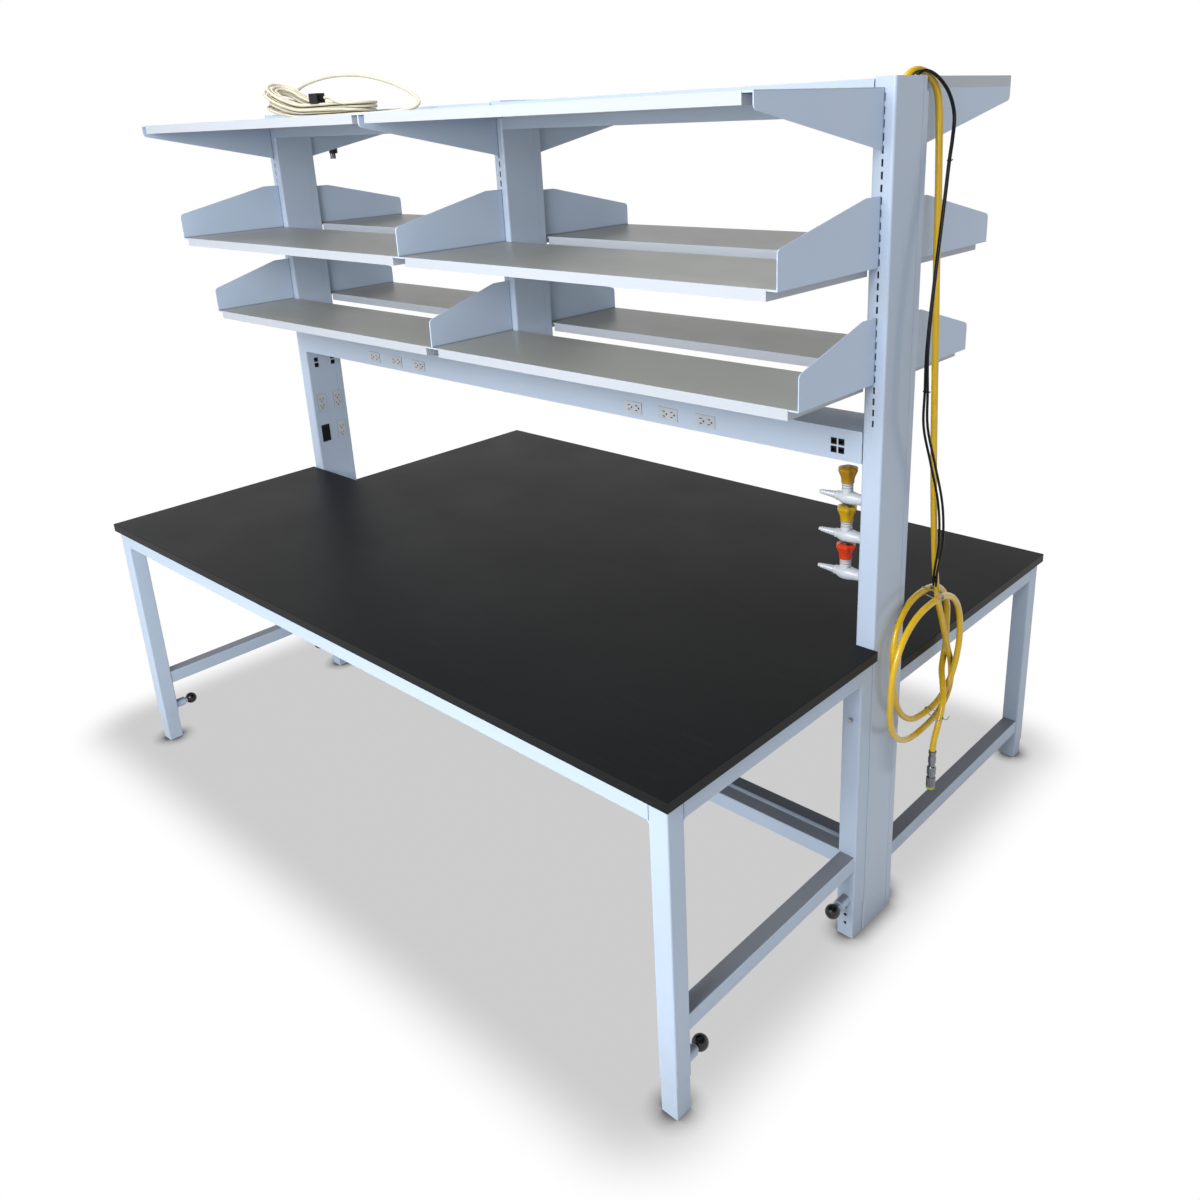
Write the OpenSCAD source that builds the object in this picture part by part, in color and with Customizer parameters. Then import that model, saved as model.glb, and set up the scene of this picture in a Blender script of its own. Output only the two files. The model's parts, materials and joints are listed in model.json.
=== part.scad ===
// Double-sided laboratory bench: two height-adjustable tables either side of a
// slotted spine that carries a service raceway, valves and reagent shelves.
// X runs along the bench, the front table is towards -Y, and Z is up from the floor.

/* [Worktops] */
// Length of both worktops
top_l = 2438; // [1900:1:3000]
// Depth of the front worktop
front_top_d = 762; // [600:1:900]
// Depth of the rear worktop
rear_top_d = 914; // [650:1:1000]
// Thickness of the worktops
top_t = 25; // [19:0.5:32]
// Bevel round the upper edge of a worktop
top_bevel = 1; // [0.5:0.5:5]
// Height of the front worktop above the floor
front_h = 818; // [760:1:860]
// Height of the rear worktop above the floor
rear_h = 706; // [690:1:760]
// How far the rear table stands to the left of the front one
rear_shift = 32; // [0:1:60]

/* [Table frames] */
// Width of the square leg and apron tube
leg_w = 50; // [44:1:60]
// Wall of the square tubes
tube_wall = 2; // [1.5:0.1:3]
// Outer corner radius of the square tubes
tube_r = 4; // [3.5:0.5:6]
// Width of the square tube of the low rails
rail_w = 44; // [36:1:44]
// How far the frame is set in from the worktop's edge
frame_inset = 11; // [5:1:20]
// Height of the underside of the front table's low rails
front_rail_z = 210; // [170:1:300]
// Height of the underside of the rear table's low rails
rear_rail_z = 92; // [88:1:160]
// Size of the rounded gusset inside each upper corner
gusset = 16; // [8:1:30]

/* [Adjustable feet] */
// How far the front table's feet stand out of its legs
front_foot_out = 94; // [85:1:110]
// How far the rear table's feet stand out of its legs
rear_foot_out = 50; // [40:1:60]
// Length of a foot tube
foot_l = 300; // [280:1:360]
// Wall of the foot tubes
foot_wall = 2; // [1.5:0.1:3]
// Sliding clearance of a foot tube in its leg, each side
foot_clear = 0.3; // [0.2:0.05:0.6]
// Thickness of the plate that closes a foot tube
foot_plate_t = 8; // [5:0.5:12]
// Pitch of the height holes in a foot tube
hole_pitch = 25.4; // [20:0.1:30]
// Number of height holes in a foot tube
hole_n = 8; // [4:1:9]
// Radius of the height holes
hole_r = 4.5; // [3.5:0.1:6]

/* [Pull plungers] */
// Height of the plungers above the floor
plunger_z = 116; // [112:1:130]
// Radius of the barrel welded to the leg
barrel_r = 14.5; // [13:0.5:18]
// Length of the barrel
barrel_l = 43; // [25:1:50]
// Radius of the locking pin
pin_r = 4; // [3:0.1:5]
// Running clearance of the pin in its bore
pin_clear = 0.06; // [0.02:0.01:0.1]
// Radius of the ball knob
ball_r = 19; // [14:0.5:22]
// Travel of the plunger when it is pulled
plunger_travel = 8; // [5:0.5:12]

/* [Spine columns] */
// Height of the columns
column_h = 2083; // [1950:1:2300]
// Depth of the spine
spine_d = 141; // [120:1:180]
// Width of the end columns
column_w = 50; // [44:1:60]
// Width of the middle column
mid_column_w = 42; // [36:1:60]
// Wall of the columns
column_wall = 2.5; // [2:0.5:3.5]
// Outer corner radius of the columns
column_r = 6; // [4:0.5:9]
// Pitch of the shelf slots
slot_pitch = 25; // [20:0.5:32]
// Height of a shelf slot
slot_h = 15; // [13:0.5:16]
// Width of a shelf slot
slot_w = 4.8; // [4.6:0.1:6]

/* [Raceway and header] */
// Height of the underside of the raceway
raceway_z = 1270; // [1240:1:1290]
// Height of the raceway box
raceway_h = 75; // [60:1:80]
// Wall of the raceway box
raceway_wall = 2; // [1.5:0.5:3]
// Height of the header box that joins the columns at their tops
header_h = 70; // [50:1:90]
// How far the header lies below the column tops
header_drop = 4; // [2:1:20]

/* [Shelves] */
// Thickness of the shelf sheet metal
sheet = 2; // [1.5:0.1:2.2]
// Height of the turned-down lips
lip_h = 24; // [18:1:30]
// Width of the ledge that carries a deck
ledge_w = 24; // [18:1:30]
// How far the front top shelf's surface lies below the column tops
top_drop = 21; // [10:1:60]
// Depth of the top shelves
top_deck_d = 438; // [300:1:500]
// Depth of the upper shelves
upper_deck_d = 365; // [250:1:420]
// Depth of the lower shelves
lower_deck_d = 290; // [220:1:350]
// Slots between the top shelf and the upper shelf
upper_drop_slots = 14; // [12:1:16]
// Slots between the top shelf and the lower shelf
lower_drop_slots = 24; // [22:1:25]
// Height of an end plate at the column
plate_back_h = 145; // [110:1:170]
// Height of an end plate at the front
plate_front_h = 80; // [50:1:100]
// How much lower the rear shelves' end plates are
rear_plate_drop = 12; // [0:1:25]
// Length of the level part of an end plate's top
plate_flat = 56; // [30:1:90]
// Height of a top bracket at the column
bracket_back_h = 118; // [90:1:140]
// Height of a top bracket at the front
bracket_front_h = 32; // [20:1:50]
// Corner radius of plates and brackets
plate_r = 12; // [6:1:18]

/* [Power and data] */
// Length of a duplex outlet
outlet_l = 64; // [50:1:70]
// Width of a duplex outlet
outlet_w = 33; // [25:1:36]
// How far an outlet stands proud of its panel
outlet_proud = 1.2; // [0.5:0.1:3]
// Depth of an outlet body behind its panel
outlet_body = 24; // [15:1:26]
// Width of a data jack
jack_w = 15; // [12:0.5:17]
// Pitch of the data jacks
jack_pitch = 20; // [18:0.5:24]
// Pitch of the outlets on the raceway
outlet_pitch = 123; // [100:1:150]

/* [Service valves] */
// Height of the lowest valve's nozzle above the floor
valve_z = 972; // [900:1:1000]
// Height step between the valves
valve_step = 96; // [94:1:110]
// Distance of a valve's stem from the column
valve_reach = 64; // [50:1:80]
// Radius of the valve arm
valve_arm_r = 13; // [10:0.5:16]
// Radius of the valve neck
valve_neck_r = 14.5; // [12:0.5:17]
// Height of the neck's top above the nozzle
valve_neck_h = 32; // [28:1:34]
// Radius of the valve knob across its lobes
knob_r = 24; // [18:0.5:28]
// Height of the valve knob
knob_h = 46; // [34:1:48]

/* [Hose] */
// Outer diameter of the yellow hose
hose_d = 16; // [12:0.5:20]
// Outer diameter of the black control cables
cable_d = 6; // [5:0.5:8]
// Outer diameter of the cream extension cord
cord_d = 9; // [7:0.5:10]
// Turns of cord in one layer of the hank
hank_turns = 3; // [2:1:4]

/* [Hidden] */
// Facets of a full circle where curves stay exact
$fn = 48;
// Overrun of every cut
over = 1;
// Clearance of an insert in its cut-out
fit = 0.2;
// Clearance round a piece that must not touch
gap = 0.3;
// Smallest corner radius
min_r = 1;

// Places of the tables and the spine, which put the bench's box round the origin
front_x = rear_shift / 2;
rear_x = -rear_shift / 2;
spine_x = front_x;
spine_y = (front_top_d - rear_top_d) / 2;
front_edge = spine_y - spine_d / 2;
rear_edge = spine_y + spine_d / 2;
front_y = front_edge - front_top_d / 2;
rear_y = rear_edge + rear_top_d / 2;
bay_l = top_l / 2 - frame_inset - column_w / 2;

// Frame sizes that follow the worktops
frame_l = top_l - 2 * frame_inset;
front_frame_d = front_top_d - frame_inset;
rear_frame_d = rear_top_d - frame_inset;
foot_w = leg_w - 2 * tube_wall - 2 * foot_clear;
foot_r = max(tube_r - tube_wall - foot_clear, min_r);

// Barrel, plunger and lock bolt sizes
collar_share = 0.66;
collar_r = collar_share * barrel_r;
collar_l = plunger_travel;
ball_sink_share = 0.12;
bolt_head_shares = [1.6, 1.3];
bolt_head_r = bolt_head_shares[0] * pin_r;
bolt_head_h = bolt_head_shares[1] * pin_r;
bolt_drop = 150;
rear_bolt_z = rear_foot_out + leg_w / 2;

// Column slots and the rows of places that the shelves hook into
top_deck_z = column_h - top_drop;
slot_top = top_deck_z - sheet - (bracket_back_h % slot_pitch) / 2;
tab_t = sheet;
tab_h = slot_h - 2 * gap;
tab_in = column_wall + 3 * sheet;
tab_n = 3;
slot_n = 1 + floor((slot_top - slot_h - raceway_z - raceway_h - slot_pitch / 2) / slot_pitch);
seam = 1.2;
seam_y_share = 0.3;
notch_h = 30;
notch_d = 15;
notch_y = spine_d / 2 - notch_d;
cap_drop = 76;
grommet_w = 30;
grommet_d = 72;

// Deck heights
upper_deck_z = top_deck_z - upper_drop_slots * slot_pitch;
lower_deck_z = top_deck_z - lower_drop_slots * slot_pitch;

// Places of the outlets along the raceway, the data block and the column's devices
outlet_shift = -6;
outlet_rows = [outlet_shift - bay_l / 2, outlet_shift + bay_l / 2];
data_inset = 88;
data_x = bay_l - data_inset;
outlet_drop = 8;
data_drop = 4;
device_z = raceway_z + raceway_h / 2 - outlet_drop;
data_z = raceway_z + raceway_h / 2 - data_drop;
column_outlet_y = 34;
column_outlet_z = [1071, 953];
column_jack_z = [1233, 1213];

// Outlet face details
blade_w = 2.4;
blade_h = 8;
blade_gap_share = 0.8;
ground_r = 2.6;
ground_gap_share = 1.1;
face_step = 26;
slot_deep = 3;

// Valve knob and nozzle shares
knob_lobes = 6;
knob_waist_share = 0.62;
knob_valley_share = 0.84;
knob_shoulder_share = 0.74;
knob_crest_share = 0.94;
knob_crown_share = 0.55;
crest_valley_share = 0.95;
crown_valley_share = 0.98;
valve_y = -20;
stem_bore = pin_r + pin_clear;
nozzle_l = 62;
nozzle_r = 9;
nozzle_tip_r = 3.4;
nozzle_bore = 1.6;
flange_lip = 5;
flange_r = valve_arm_r + flange_lip;
flange_t = 6;
neck_ring_drop = 6;

// Rings and sides of the swept tubes
tube_sides = 8;
coil_sides = 6;
loop_rings = 24;
arc_steps = 4;
upright = 0.94;

// Places and sizes of the hose's loops, measured from the middle of the right column's top
coil_turns = 2;
coil_x = 47;
coil_mid_y = 134;
coil_y = 174;
coil_mid_z = -1386;
coil_z = 193;
coil_draw = 14;
coil_lay_share = 1.14;
coil_lay = hose_d * coil_lay_share;
tie_t = 2.4;

// Coupling on the hose, as shares of the hose's radius: each pair is a radius and a distance
// along it. The nut's three are its corner radius and the distances of its two ends.
ferrule_shares = [[0, 0], [1.12, 0], [1.2, 0.25], [1.2, 2.6], [0.9, 2.9], [0.9, 3.3], [0, 3.3]];
nut_shares = [1.45, 3.3, 4.8];
sleeve_shares = [[0, 4.8], [1.1, 4.8], [1.1, 5.8], [1.5, 6], [1.5, 7], [1.35, 7.2], [1.35, 9.2],
    [1.5, 9.4], [1.5, 10.8], [1.3, 11], [1.3, 13], [1.5, 13.2], [1.5, 14], [0, 14]];

// The second black cable lies beside the first; ties go round both at two of their points
CABLE_STEP = [7, -2, 0];
CABLE_TIES = [8, 12];
boot_l = 26;
boot_shares = [0.42, 0.56];

// The extension cord's hank: its middle on the top shelf, the half length of its straights, the
// inner radius of its bends, the steps between turns and layers, and the rise of its left end
hank_at = [-693, -170];
hank_l = 190;
hank_r = 28;
hank_lay_share = 1.1;
hank_lay = cord_d * hank_lay_share;
hank_layers = 4;
hank_layer_share = 1.2;
hank_rise = 40;

// Moulded plug and socket of the extension cord
relief_l = 20;
relief_shares = [0.62, 0.8];
plug_r = 15;
plug_l = 34;
plug_neck_share = 0.8;
plug_bevel = 2;
plug_neck_l = 8;
pin_gap = 12.7;
pin_t = 1.6;
pin_w = 6.4;
prong_l = 18;
ground_pin_shares = [0.94, 0.38];
socket_h = 27;
socket_l = 44;
socket_at = [95, -42];

// Points of the cord between its socket and its hank, measured from the hank's middle
SOCKET_END = [[0, 0, 0], [10, 0, 0], [38, -8, -2], [62, -13, -8], [84, -16, -13]];

// Points of the hose from the column's grommet to its coil, measured from the column's top
HOSE = [
    [-4, -6, -75], [-4, -6, -54], [-4, 2, -23], [-3, 26, 2], [1, 58, 11], [8, 90, 2],
    [15, 114, -24], [19, 124, -70], [22, 128, -162], [25, 130, -255], [28, 132, -384],
    [31, 139, -534], [35, 143, -680], [39, 148, -825], [42, 160, -978], [44, 174, -1100],
    [45, 188, -1185], [46, 214, -1250], [46, 252, -1297], [47, 286, -1329],
    [47, 303, -1350], [47, 308, -1368], [47, 308, -1386]];
// Points of the hose from the coil's lower tie to its coupling
HOSE_TAIL = [
    [87, 186, -1540], [87, 168, -1552], [87, 152, -1567], [87, 143, -1585],
    [87, 140, -1604], [87, 140, -1622]];
// Points of the first black cable, measured from the column's top
CABLE = [
    [6, 14, -75], [6, 14, -60], [7, 28, -14], [14, 56, 9], [26, 92, -2], [37, 126, -35],
    [44, 142, -80], [49, 129, -130], [51, 117, -170], [54, 99, -255], [58, 66, -420],
    [58, 49, -560], [59, 49, -658], [59, 52, -740], [59, 94, -835], [59, 145, -950],
    [59, 162, -1050], [58, 150, -1125], [58, 148, -1142]];
// Points of the extension cord from its hank to the plug that hangs at the shelf's left end,
// with the heights above the top shelf
LEAD = [
    [-623, -228, 4.5], [-550, -228, 4.5], [-490, -228, 4.5], [-390, -222, 4.5],
    [-310, -208, 5], [-262, -184, 8], [-243, -155, 15], [-255, -128, 30], [-310, -110, 54],
    [-400, -101, 82], [-490, -97, 102], [-580, -95, 115], [-670, -94, 121],
    [-755, -92, 119], [-835, -84, 104], [-905, -62, 82], [-965, -20, 60], [-1030, 45, 44],
    [-1095, 115, 36], [-1150, 163, 33], [-1190, 183, 28], [-1212, 189, 4],
    [-1217, 190, -24], [-1217, 190, -44], [-1217, 190, -62]];

// Shared shapes

module round_square(w, r) {
    square([w - 2 * r, w], center = true);
    square([w, w - 2 * r], center = true);
    for (x = [-1, 1], y = [-1, 1])
        translate([x * (w / 2 - r), y * (w / 2 - r)]) circle(r = r);
}

module square_tube(l, w, wall, r) {
    linear_extrude(l) difference() {
        round_square(w, r);
        square(w - 2 * wall, center = true);
    }
}

module tube_along_x(l, w, wall, r) {
    translate([-l / 2, 0, 0]) rotate([90, 0, 90]) square_tube(l, w, wall, r);
}

module tube_along_y(l, w, wall, r) {
    translate([0, l / 2, 0]) rotate([90, 0, 0]) square_tube(l, w, wall, r);
}

module bevelled_slab(l, d, t, b) {
    intersection() {
        translate([-l / 2, 0, 0]) rotate([90, 0, 90]) linear_extrude(l)
            polygon([[-d / 2, 0], [d / 2, 0], [d / 2, t - b], [d / 2 - b, t],
                [b - d / 2, t], [-d / 2, t - b]]);
        translate([0, d / 2, 0]) rotate([90, 0, 0]) linear_extrude(d)
            polygon([[-l / 2, 0], [l / 2, 0], [l / 2, t - b], [l / 2 - b, t],
                [b - l / 2, t], [-l / 2, t - b]]);
    }
}

// A tube swept along points, with flat ends square to the first and last run

function unit(v) = v / norm(v);
function tangent(p, i) = unit(p[min(i + 1, len(p) - 1)] - p[max(i - 1, 0)]);
function side_of(t) = abs(t[2]) > upright ? unit(cross(t, [0, 1, 0])) : unit(cross(t, [0, 0, 1]));
function carried(v, t) = unit(v - (v * t) * t);
function sides_along(p, i, v) = i == len(p) ? [] :
    let (s = carried(v, tangent(p, i))) concat([s], sides_along(p, i + 1, s));
function ring(c, t, s, r, n) = [for (k = [0:n - 1])
    let (a = 360 * k / n) c + r * (cos(a) * s + sin(a) * cross(t, s))];

module swept(p, r, n) {
    s = sides_along(p, 0, side_of(tangent(p, 0)));
    m = len(p);
    points = [for (i = [0:m - 1]) each ring(p[i], tangent(p, i), s[i], r, n)];
    walls = [for (i = [0:m - 2], k = [0:n - 1]) let (j = (k + 1) % n)
        each [[i * n + k, (i + 1) * n + k, (i + 1) * n + j],
            [i * n + k, (i + 1) * n + j, i * n + j]]];
    ends = [for (k = [1:n - 2]) each [[0, k, k + 1],
        [(m - 1) * n, (m - 1) * n + k + 1, (m - 1) * n + k]]];
    polyhedron(points = points, faces = concat(walls, ends));
}

// Least gap of a coiled tube to itself, past its near neighbours

function least_gap(p, skip, d) = min([for (i = [0:len(p) - 1], j = [i + skip:1:len(p) - 1])
    norm(p[i] - p[j])]) - d;

module at_spine() translate([spine_x, spine_y, 0]) children();
module at_column_top() at_spine() translate([bay_l, 0, column_h]) children();

// Worktops

module front_worktop() {
    color([0.12, 0.12, 0.13]) translate([front_x, front_y, front_h - top_t])
        bevelled_slab(top_l, front_top_d, top_t, top_bevel);
}

module rear_worktop() {
    color([0.12, 0.12, 0.13]) translate([rear_x, rear_y, rear_h - top_t])
        bevelled_slab(top_l, rear_top_d, top_t, top_bevel);
}

// Table frames: each is drawn round the middle of its worktop, with the outer side at -Y

module at_front() translate([front_x, front_y + frame_inset / 2, 0]) children();
module at_rear() translate([rear_x, rear_y - frame_inset / 2, 0]) rotate([0, 0, 180]) children();

module leg(z0, z1) {
    translate([0, 0, z0]) square_tube(z1 - z0, leg_w, tube_wall, tube_r);
}

// The bore runs through the leg's inward wall, towards the middle of the table

module plunger_bore() {
    translate([0, 0, plunger_z]) rotate([-90, 0, 0])
        cylinder(r = pin_r + pin_clear, h = leg_w / 2 + barrel_l + over);
}

module front_legs() {
    color([0.76, 0.8, 0.86]) at_front()
        for (x = [-1, 1], y = [0, 1])
            translate([x * (frame_l - leg_w) / 2, (2 * y - 1) * (front_frame_d - leg_w) / 2, 0])
                rotate([0, 0, 180 * y]) difference() {
                    leg(front_foot_out, front_h - top_t);
                    plunger_bore();
                }
}

module bolt_bore() {
    translate([0, 0, rear_bolt_z]) rotate([0, 90, 0])
        cylinder(r = pin_r + gap, h = leg_w);
}

module rear_legs() {
    color([0.76, 0.8, 0.86]) at_rear()
        for (x = [0, 1], y = [-1, 1])
            translate([(2 * x - 1) * (frame_l - leg_w) / 2, y * (rear_frame_d - leg_w) / 2, 0])
                rotate([0, 0, 180 * x]) difference() {
                    leg(rear_foot_out, rear_h - top_t);
                    bolt_bore();
                }
}

module aprons(l, d, z) {
    for (y = [-1, 1]) translate([0, y * (d - leg_w) / 2, z - leg_w / 2])
        tube_along_x(l - 2 * leg_w, leg_w, tube_wall, tube_r);
    for (x = [-1, 1]) translate([x * (l - leg_w) / 2, 0, z - leg_w / 2])
        tube_along_y(d - 2 * leg_w, leg_w, tube_wall, tube_r);
}

module front_aprons() {
    color([0.78, 0.82, 0.87]) at_front() aprons(frame_l, front_frame_d, front_h - top_t);
}

module rear_aprons() {
    color([0.78, 0.82, 0.87]) at_rear() aprons(frame_l, rear_frame_d, rear_h - top_t);
}

// A gusset fills the corner between a leg and an apron, with a hollow quarter round

module gusset_plate() {
    translate([0, leg_w / 2 - tube_r, 0]) rotate([90, 0, 0])
        linear_extrude(leg_w - 2 * tube_r) difference() {
            translate([0, -gusset]) square(gusset);
            translate([gusset, -gusset]) circle(r = gusset);
        }
}

module gussets(l, d, z) {
    for (x = [-1, 1], y = [-1, 1]) {
        mirror([x > 0 ? 1 : 0, 0, 0])
            translate([leg_w - l / 2, y * (d - leg_w) / 2, z - leg_w]) gusset_plate();
        translate([x * (l - leg_w) / 2, -y * (d / 2 - leg_w), z - leg_w])
            rotate([0, 0, 90 * y]) gusset_plate();
    }
}

// Low rails: one along each end, and one along the side that stands at the spine

module braces(l, d, rail_z, top_z) {
    for (x = [-1, 1]) translate([x * (l - leg_w) / 2, 0, rail_z + rail_w / 2])
        tube_along_y(d - 2 * leg_w, rail_w, tube_wall, tube_r);
    translate([0, (d - leg_w) / 2, rail_z + rail_w / 2])
        tube_along_x(l - 2 * leg_w, rail_w, tube_wall, tube_r);
    gussets(l, d, top_z);
}

module front_braces() {
    color([0.74, 0.78, 0.84]) at_front()
        braces(frame_l, front_frame_d, front_rail_z, front_h - top_t);
}

module rear_braces() {
    color([0.74, 0.78, 0.84]) at_rear()
        braces(frame_l, rear_frame_d, rear_rail_z, rear_h - top_t);
}

// Adjustable feet: a tube with a row of holes towards +Y, and a plate under it

module foot(hole_z) {
    first = hole_z - hole_pitch * floor((hole_z - foot_plate_t - hole_pitch / 2) / hole_pitch);
    difference() {
        union() {
            translate([0, 0, foot_plate_t])
                square_tube(foot_l - foot_plate_t, foot_w, foot_wall, foot_r);
            linear_extrude(foot_plate_t) round_square(foot_w, foot_r);
        }
        for (i = [0:hole_n - 1]) translate([0, 0, first + i * hole_pitch])
            rotate([-90, 0, 0]) cylinder(r = hole_r, h = leg_w);
    }
}

// Places a foot: x is -1 or 1, y is -1 at the outer side and 1 at the spine

module front_foot(x, y) {
    color([0.72, 0.76, 0.82]) at_front()
        translate([x * (frame_l - leg_w) / 2, y * (front_frame_d - leg_w) / 2, 0])
            rotate([0, 0, y > 0 ? 180 : 0]) foot(plunger_z);
}

module rear_foot(x, y) {
    color([0.72, 0.76, 0.82]) at_rear()
        translate([x * (frame_l - leg_w) / 2, y * (rear_frame_d - leg_w) / 2, 0])
            rotate([0, 0, x < 0 ? -90 : 90]) foot(rear_bolt_z);
}

module foot_front_left() front_foot(-1, -1);
module foot_front_right() front_foot(1, -1);
module foot_front_inner_left() front_foot(-1, 1);
module foot_front_inner_right() front_foot(1, 1);
module foot_rear_left() rear_foot(1, -1);
module foot_rear_right() rear_foot(-1, -1);
module foot_rear_inner_left() rear_foot(1, 1);
module foot_rear_inner_right() rear_foot(-1, 1);

// Pull plungers: a welded barrel, and a sprung pin with a ball knob

module at_plunger(x, y) {
    at_front() translate([x * (frame_l - leg_w) / 2, y * (front_frame_d - leg_w) / 2, plunger_z])
        rotate([0, 0, y > 0 ? 180 : 0]) translate([0, leg_w / 2, 0]) rotate([-90, 0, 0])
            children();
}

module barrel() {
    difference() {
        union() {
            cylinder(r = barrel_r, h = barrel_l - collar_l);
            translate([0, 0, barrel_l - collar_l]) cylinder(r = collar_r, h = collar_l);
        }
        translate([0, 0, -over]) cylinder(r = pin_r + pin_clear, h = barrel_l + 2 * over);
    }
}

module plunger_barrels() {
    color([0.7, 0.74, 0.8]) for (x = [-1, 1], y = [-1, 1]) at_plunger(x, y) barrel();
}

module plunger(x, y) {
    ball_z = barrel_l + gap + ball_r * (1 - ball_sink_share);
    color([0.08, 0.08, 0.08]) at_plunger(x, y) {
        translate([0, 0, gap - tube_wall]) cylinder(r = pin_r, h = ball_z + tube_wall - gap);
        difference() {
            translate([0, 0, ball_z]) sphere(r = ball_r);
            translate([0, 0, ball_z - 2 * ball_r + ball_r * ball_sink_share])
                cylinder(r = ball_r, h = ball_r);
        }
    }
}

module plunger_left() plunger(-1, -1);
module plunger_right() plunger(1, -1);
module plunger_inner_left() plunger(-1, 1);
module plunger_inner_right() plunger(1, 1);

// Hexagon bolts that lock the rear feet, and one at each inner leg of the front table

module hex_bolt(l) {
    cylinder(r = pin_r, h = l);
    translate([0, 0, l]) cylinder(r = bolt_head_r, h = bolt_head_h, $fn = 6);
}

module frame_bolts() {
    color([0.55, 0.57, 0.6]) {
        at_rear() for (x = [-1, 1], y = [-1, 1])
            translate([x * (frame_l - leg_w) / 2, y * (rear_frame_d - leg_w) / 2, rear_bolt_z])
                rotate([0, -90 * x, 0]) translate([0, 0, leg_w / 2 - tube_wall + gap])
                    hex_bolt(tube_wall - gap);
        at_front() for (x = [-1, 1])
            translate([x * (frame_l - leg_w) / 2, front_frame_d / 2 - leg_w,
                front_h - top_t - bolt_drop])
                rotate([90, 0, 0]) hex_bolt(bolt_head_h / 2);
    }
}

// Spine columns: a folded channel with a row of slots in each face

module column_outline(w, inset) {
    r = max(column_r - inset, min_r);
    a = w - 2 * inset;
    b = spine_d - 2 * inset;
    square([a - 2 * r, b], center = true);
    square([a, b - 2 * r], center = true);
    for (x = [-1, 1], y = [-1, 1]) translate([x * (a / 2 - r), y * (b / 2 - r)]) circle(r = r);
}

module column_slots() {
    for (i = [0:slot_n - 1])
        translate([-slot_w / 2, -spine_d / 2 - over, slot_top - slot_h - i * slot_pitch])
            cube([slot_w, spine_d + 2 * over, slot_h]);
}

module column_body(w, z0) {
    difference() {
        translate([0, 0, z0]) linear_extrude(column_h - z0) difference() {
            column_outline(w, 0);
            column_outline(w, column_wall);
        }
        column_slots();
        for (x = [-1, 1])
            translate([x * w / 2 - seam / 2, spine_d * seam_y_share, z0 - over])
                cube([seam, seam, column_h]);
    }
}

module device_hole(w, h) {
    translate([-column_wall - over, -w / 2 - fit, -h / 2 - fit])
        cube([column_wall + 2 * over, w + 2 * fit, h + 2 * fit]);
}

module column_left() {
    color([0.73, 0.78, 0.86]) at_spine() translate([-bay_l, 0, 0]) difference() {
        column_body(column_w, 0);
        translate([column_w / 2, 0, 0]) {
            for (z = column_outlet_z)
                translate([0, column_outlet_y, z]) device_hole(outlet_w, outlet_l);
            for (z = column_outlet_z)
                translate([0, -column_outlet_y, z]) device_hole(outlet_w, outlet_l);
            for (z = column_jack_z, y = [-1, 1])
                translate([0, y * column_outlet_y, z]) device_hole(jack_w, jack_w);
        }
    }
}

module column_middle() {
    color([0.73, 0.78, 0.86]) at_spine() column_body(mid_column_w, raceway_z + raceway_h);
}

module column_right() {
    color([0.73, 0.78, 0.86]) at_spine() translate([bay_l, 0, 0]) difference() {
        column_body(column_w, 0);
        translate([-column_w / 4, notch_y, column_h - notch_h])
            cube([column_w, spine_d, notch_h + over]);
        for (i = [0:2])
            translate([-column_w / 2 - over, valve_y, valve_z + i * valve_step])
                rotate([0, 90, 0]) cylinder(r = valve_arm_r + fit, h = column_wall + 2 * over);
    }
}

// Plates that close the columns a little below their tops

module cap(w) {
    linear_extrude(column_wall) column_outline(w, column_wall + fit);
}

module column_caps() {
    color([0.66, 0.7, 0.77]) at_spine() {
        translate([-bay_l, 0, column_h - column_wall]) cap(column_w);
        translate([0, 0, column_h - column_wall]) cap(mid_column_w);
        translate([bay_l, 0, column_h - cap_drop - column_wall]) difference() {
            cap(column_w);
            translate([0, 0, -over]) grommet_block(column_wall + 2 * over, fit);
        }
    }
}

// Rubber grommet in the right column's plate, which the hose and cables come out of

module grommet_block(h, grow) {
    translate([-grommet_w / 2 - grow, -grommet_d / 2 - grow, 0])
        cube([grommet_w + 2 * grow, grommet_d + 2 * grow, h]);
}

module service_grommet() {
    color([0.1, 0.1, 0.1]) at_column_top() translate([0, 0, -cap_drop]) {
        translate([0, 0, -column_wall]) grommet_block(column_wall, 0);
        grommet_block(sheet / 2, sheet);
    }
}

// Service raceway between the end columns

module raceway() {
    l = 2 * bay_l - column_w;
    color([0.73, 0.78, 0.86]) at_spine() difference() {
        translate([-l / 2, -spine_d / 2, raceway_z]) cube([l, spine_d, raceway_h]);
        translate([-l / 2 - over, raceway_wall - spine_d / 2, raceway_z + raceway_wall])
            cube([l + 2 * over, spine_d - 2 * raceway_wall, raceway_h - 2 * raceway_wall]);
        for (x = outlet_rows, i = [-1:1]) raceway_hole(x + i * outlet_pitch, device_z,
            outlet_l, outlet_w);
        for (i = [-1, 1], j = [-1, 1]) raceway_hole(data_x + i * jack_pitch / 2,
            data_z + j * jack_pitch / 2, jack_w, jack_w);
    }
}

// Header boxes between the columns, one in each bay

module header_boxes() {
    l = bay_l - column_w / 2 - mid_column_w / 2;
    color([0.73, 0.78, 0.86]) at_spine() for (x = [column_w / 2 - bay_l, mid_column_w / 2])
        translate([x, -spine_d / 2, column_h - header_drop - header_h]) difference() {
            cube([l, spine_d, header_h]);
            translate([-over, raceway_wall, raceway_wall])
                cube([l + 2 * over, spine_d - 2 * raceway_wall, header_h - 2 * raceway_wall]);
        }
}

module raceway_hole(x, z, w, h) {
    translate([x - w / 2 - fit, -spine_d / 2 - over, z - h / 2 - fit])
        cube([w + 2 * fit, raceway_wall + 2 * over, h + 2 * fit]);
}

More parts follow.
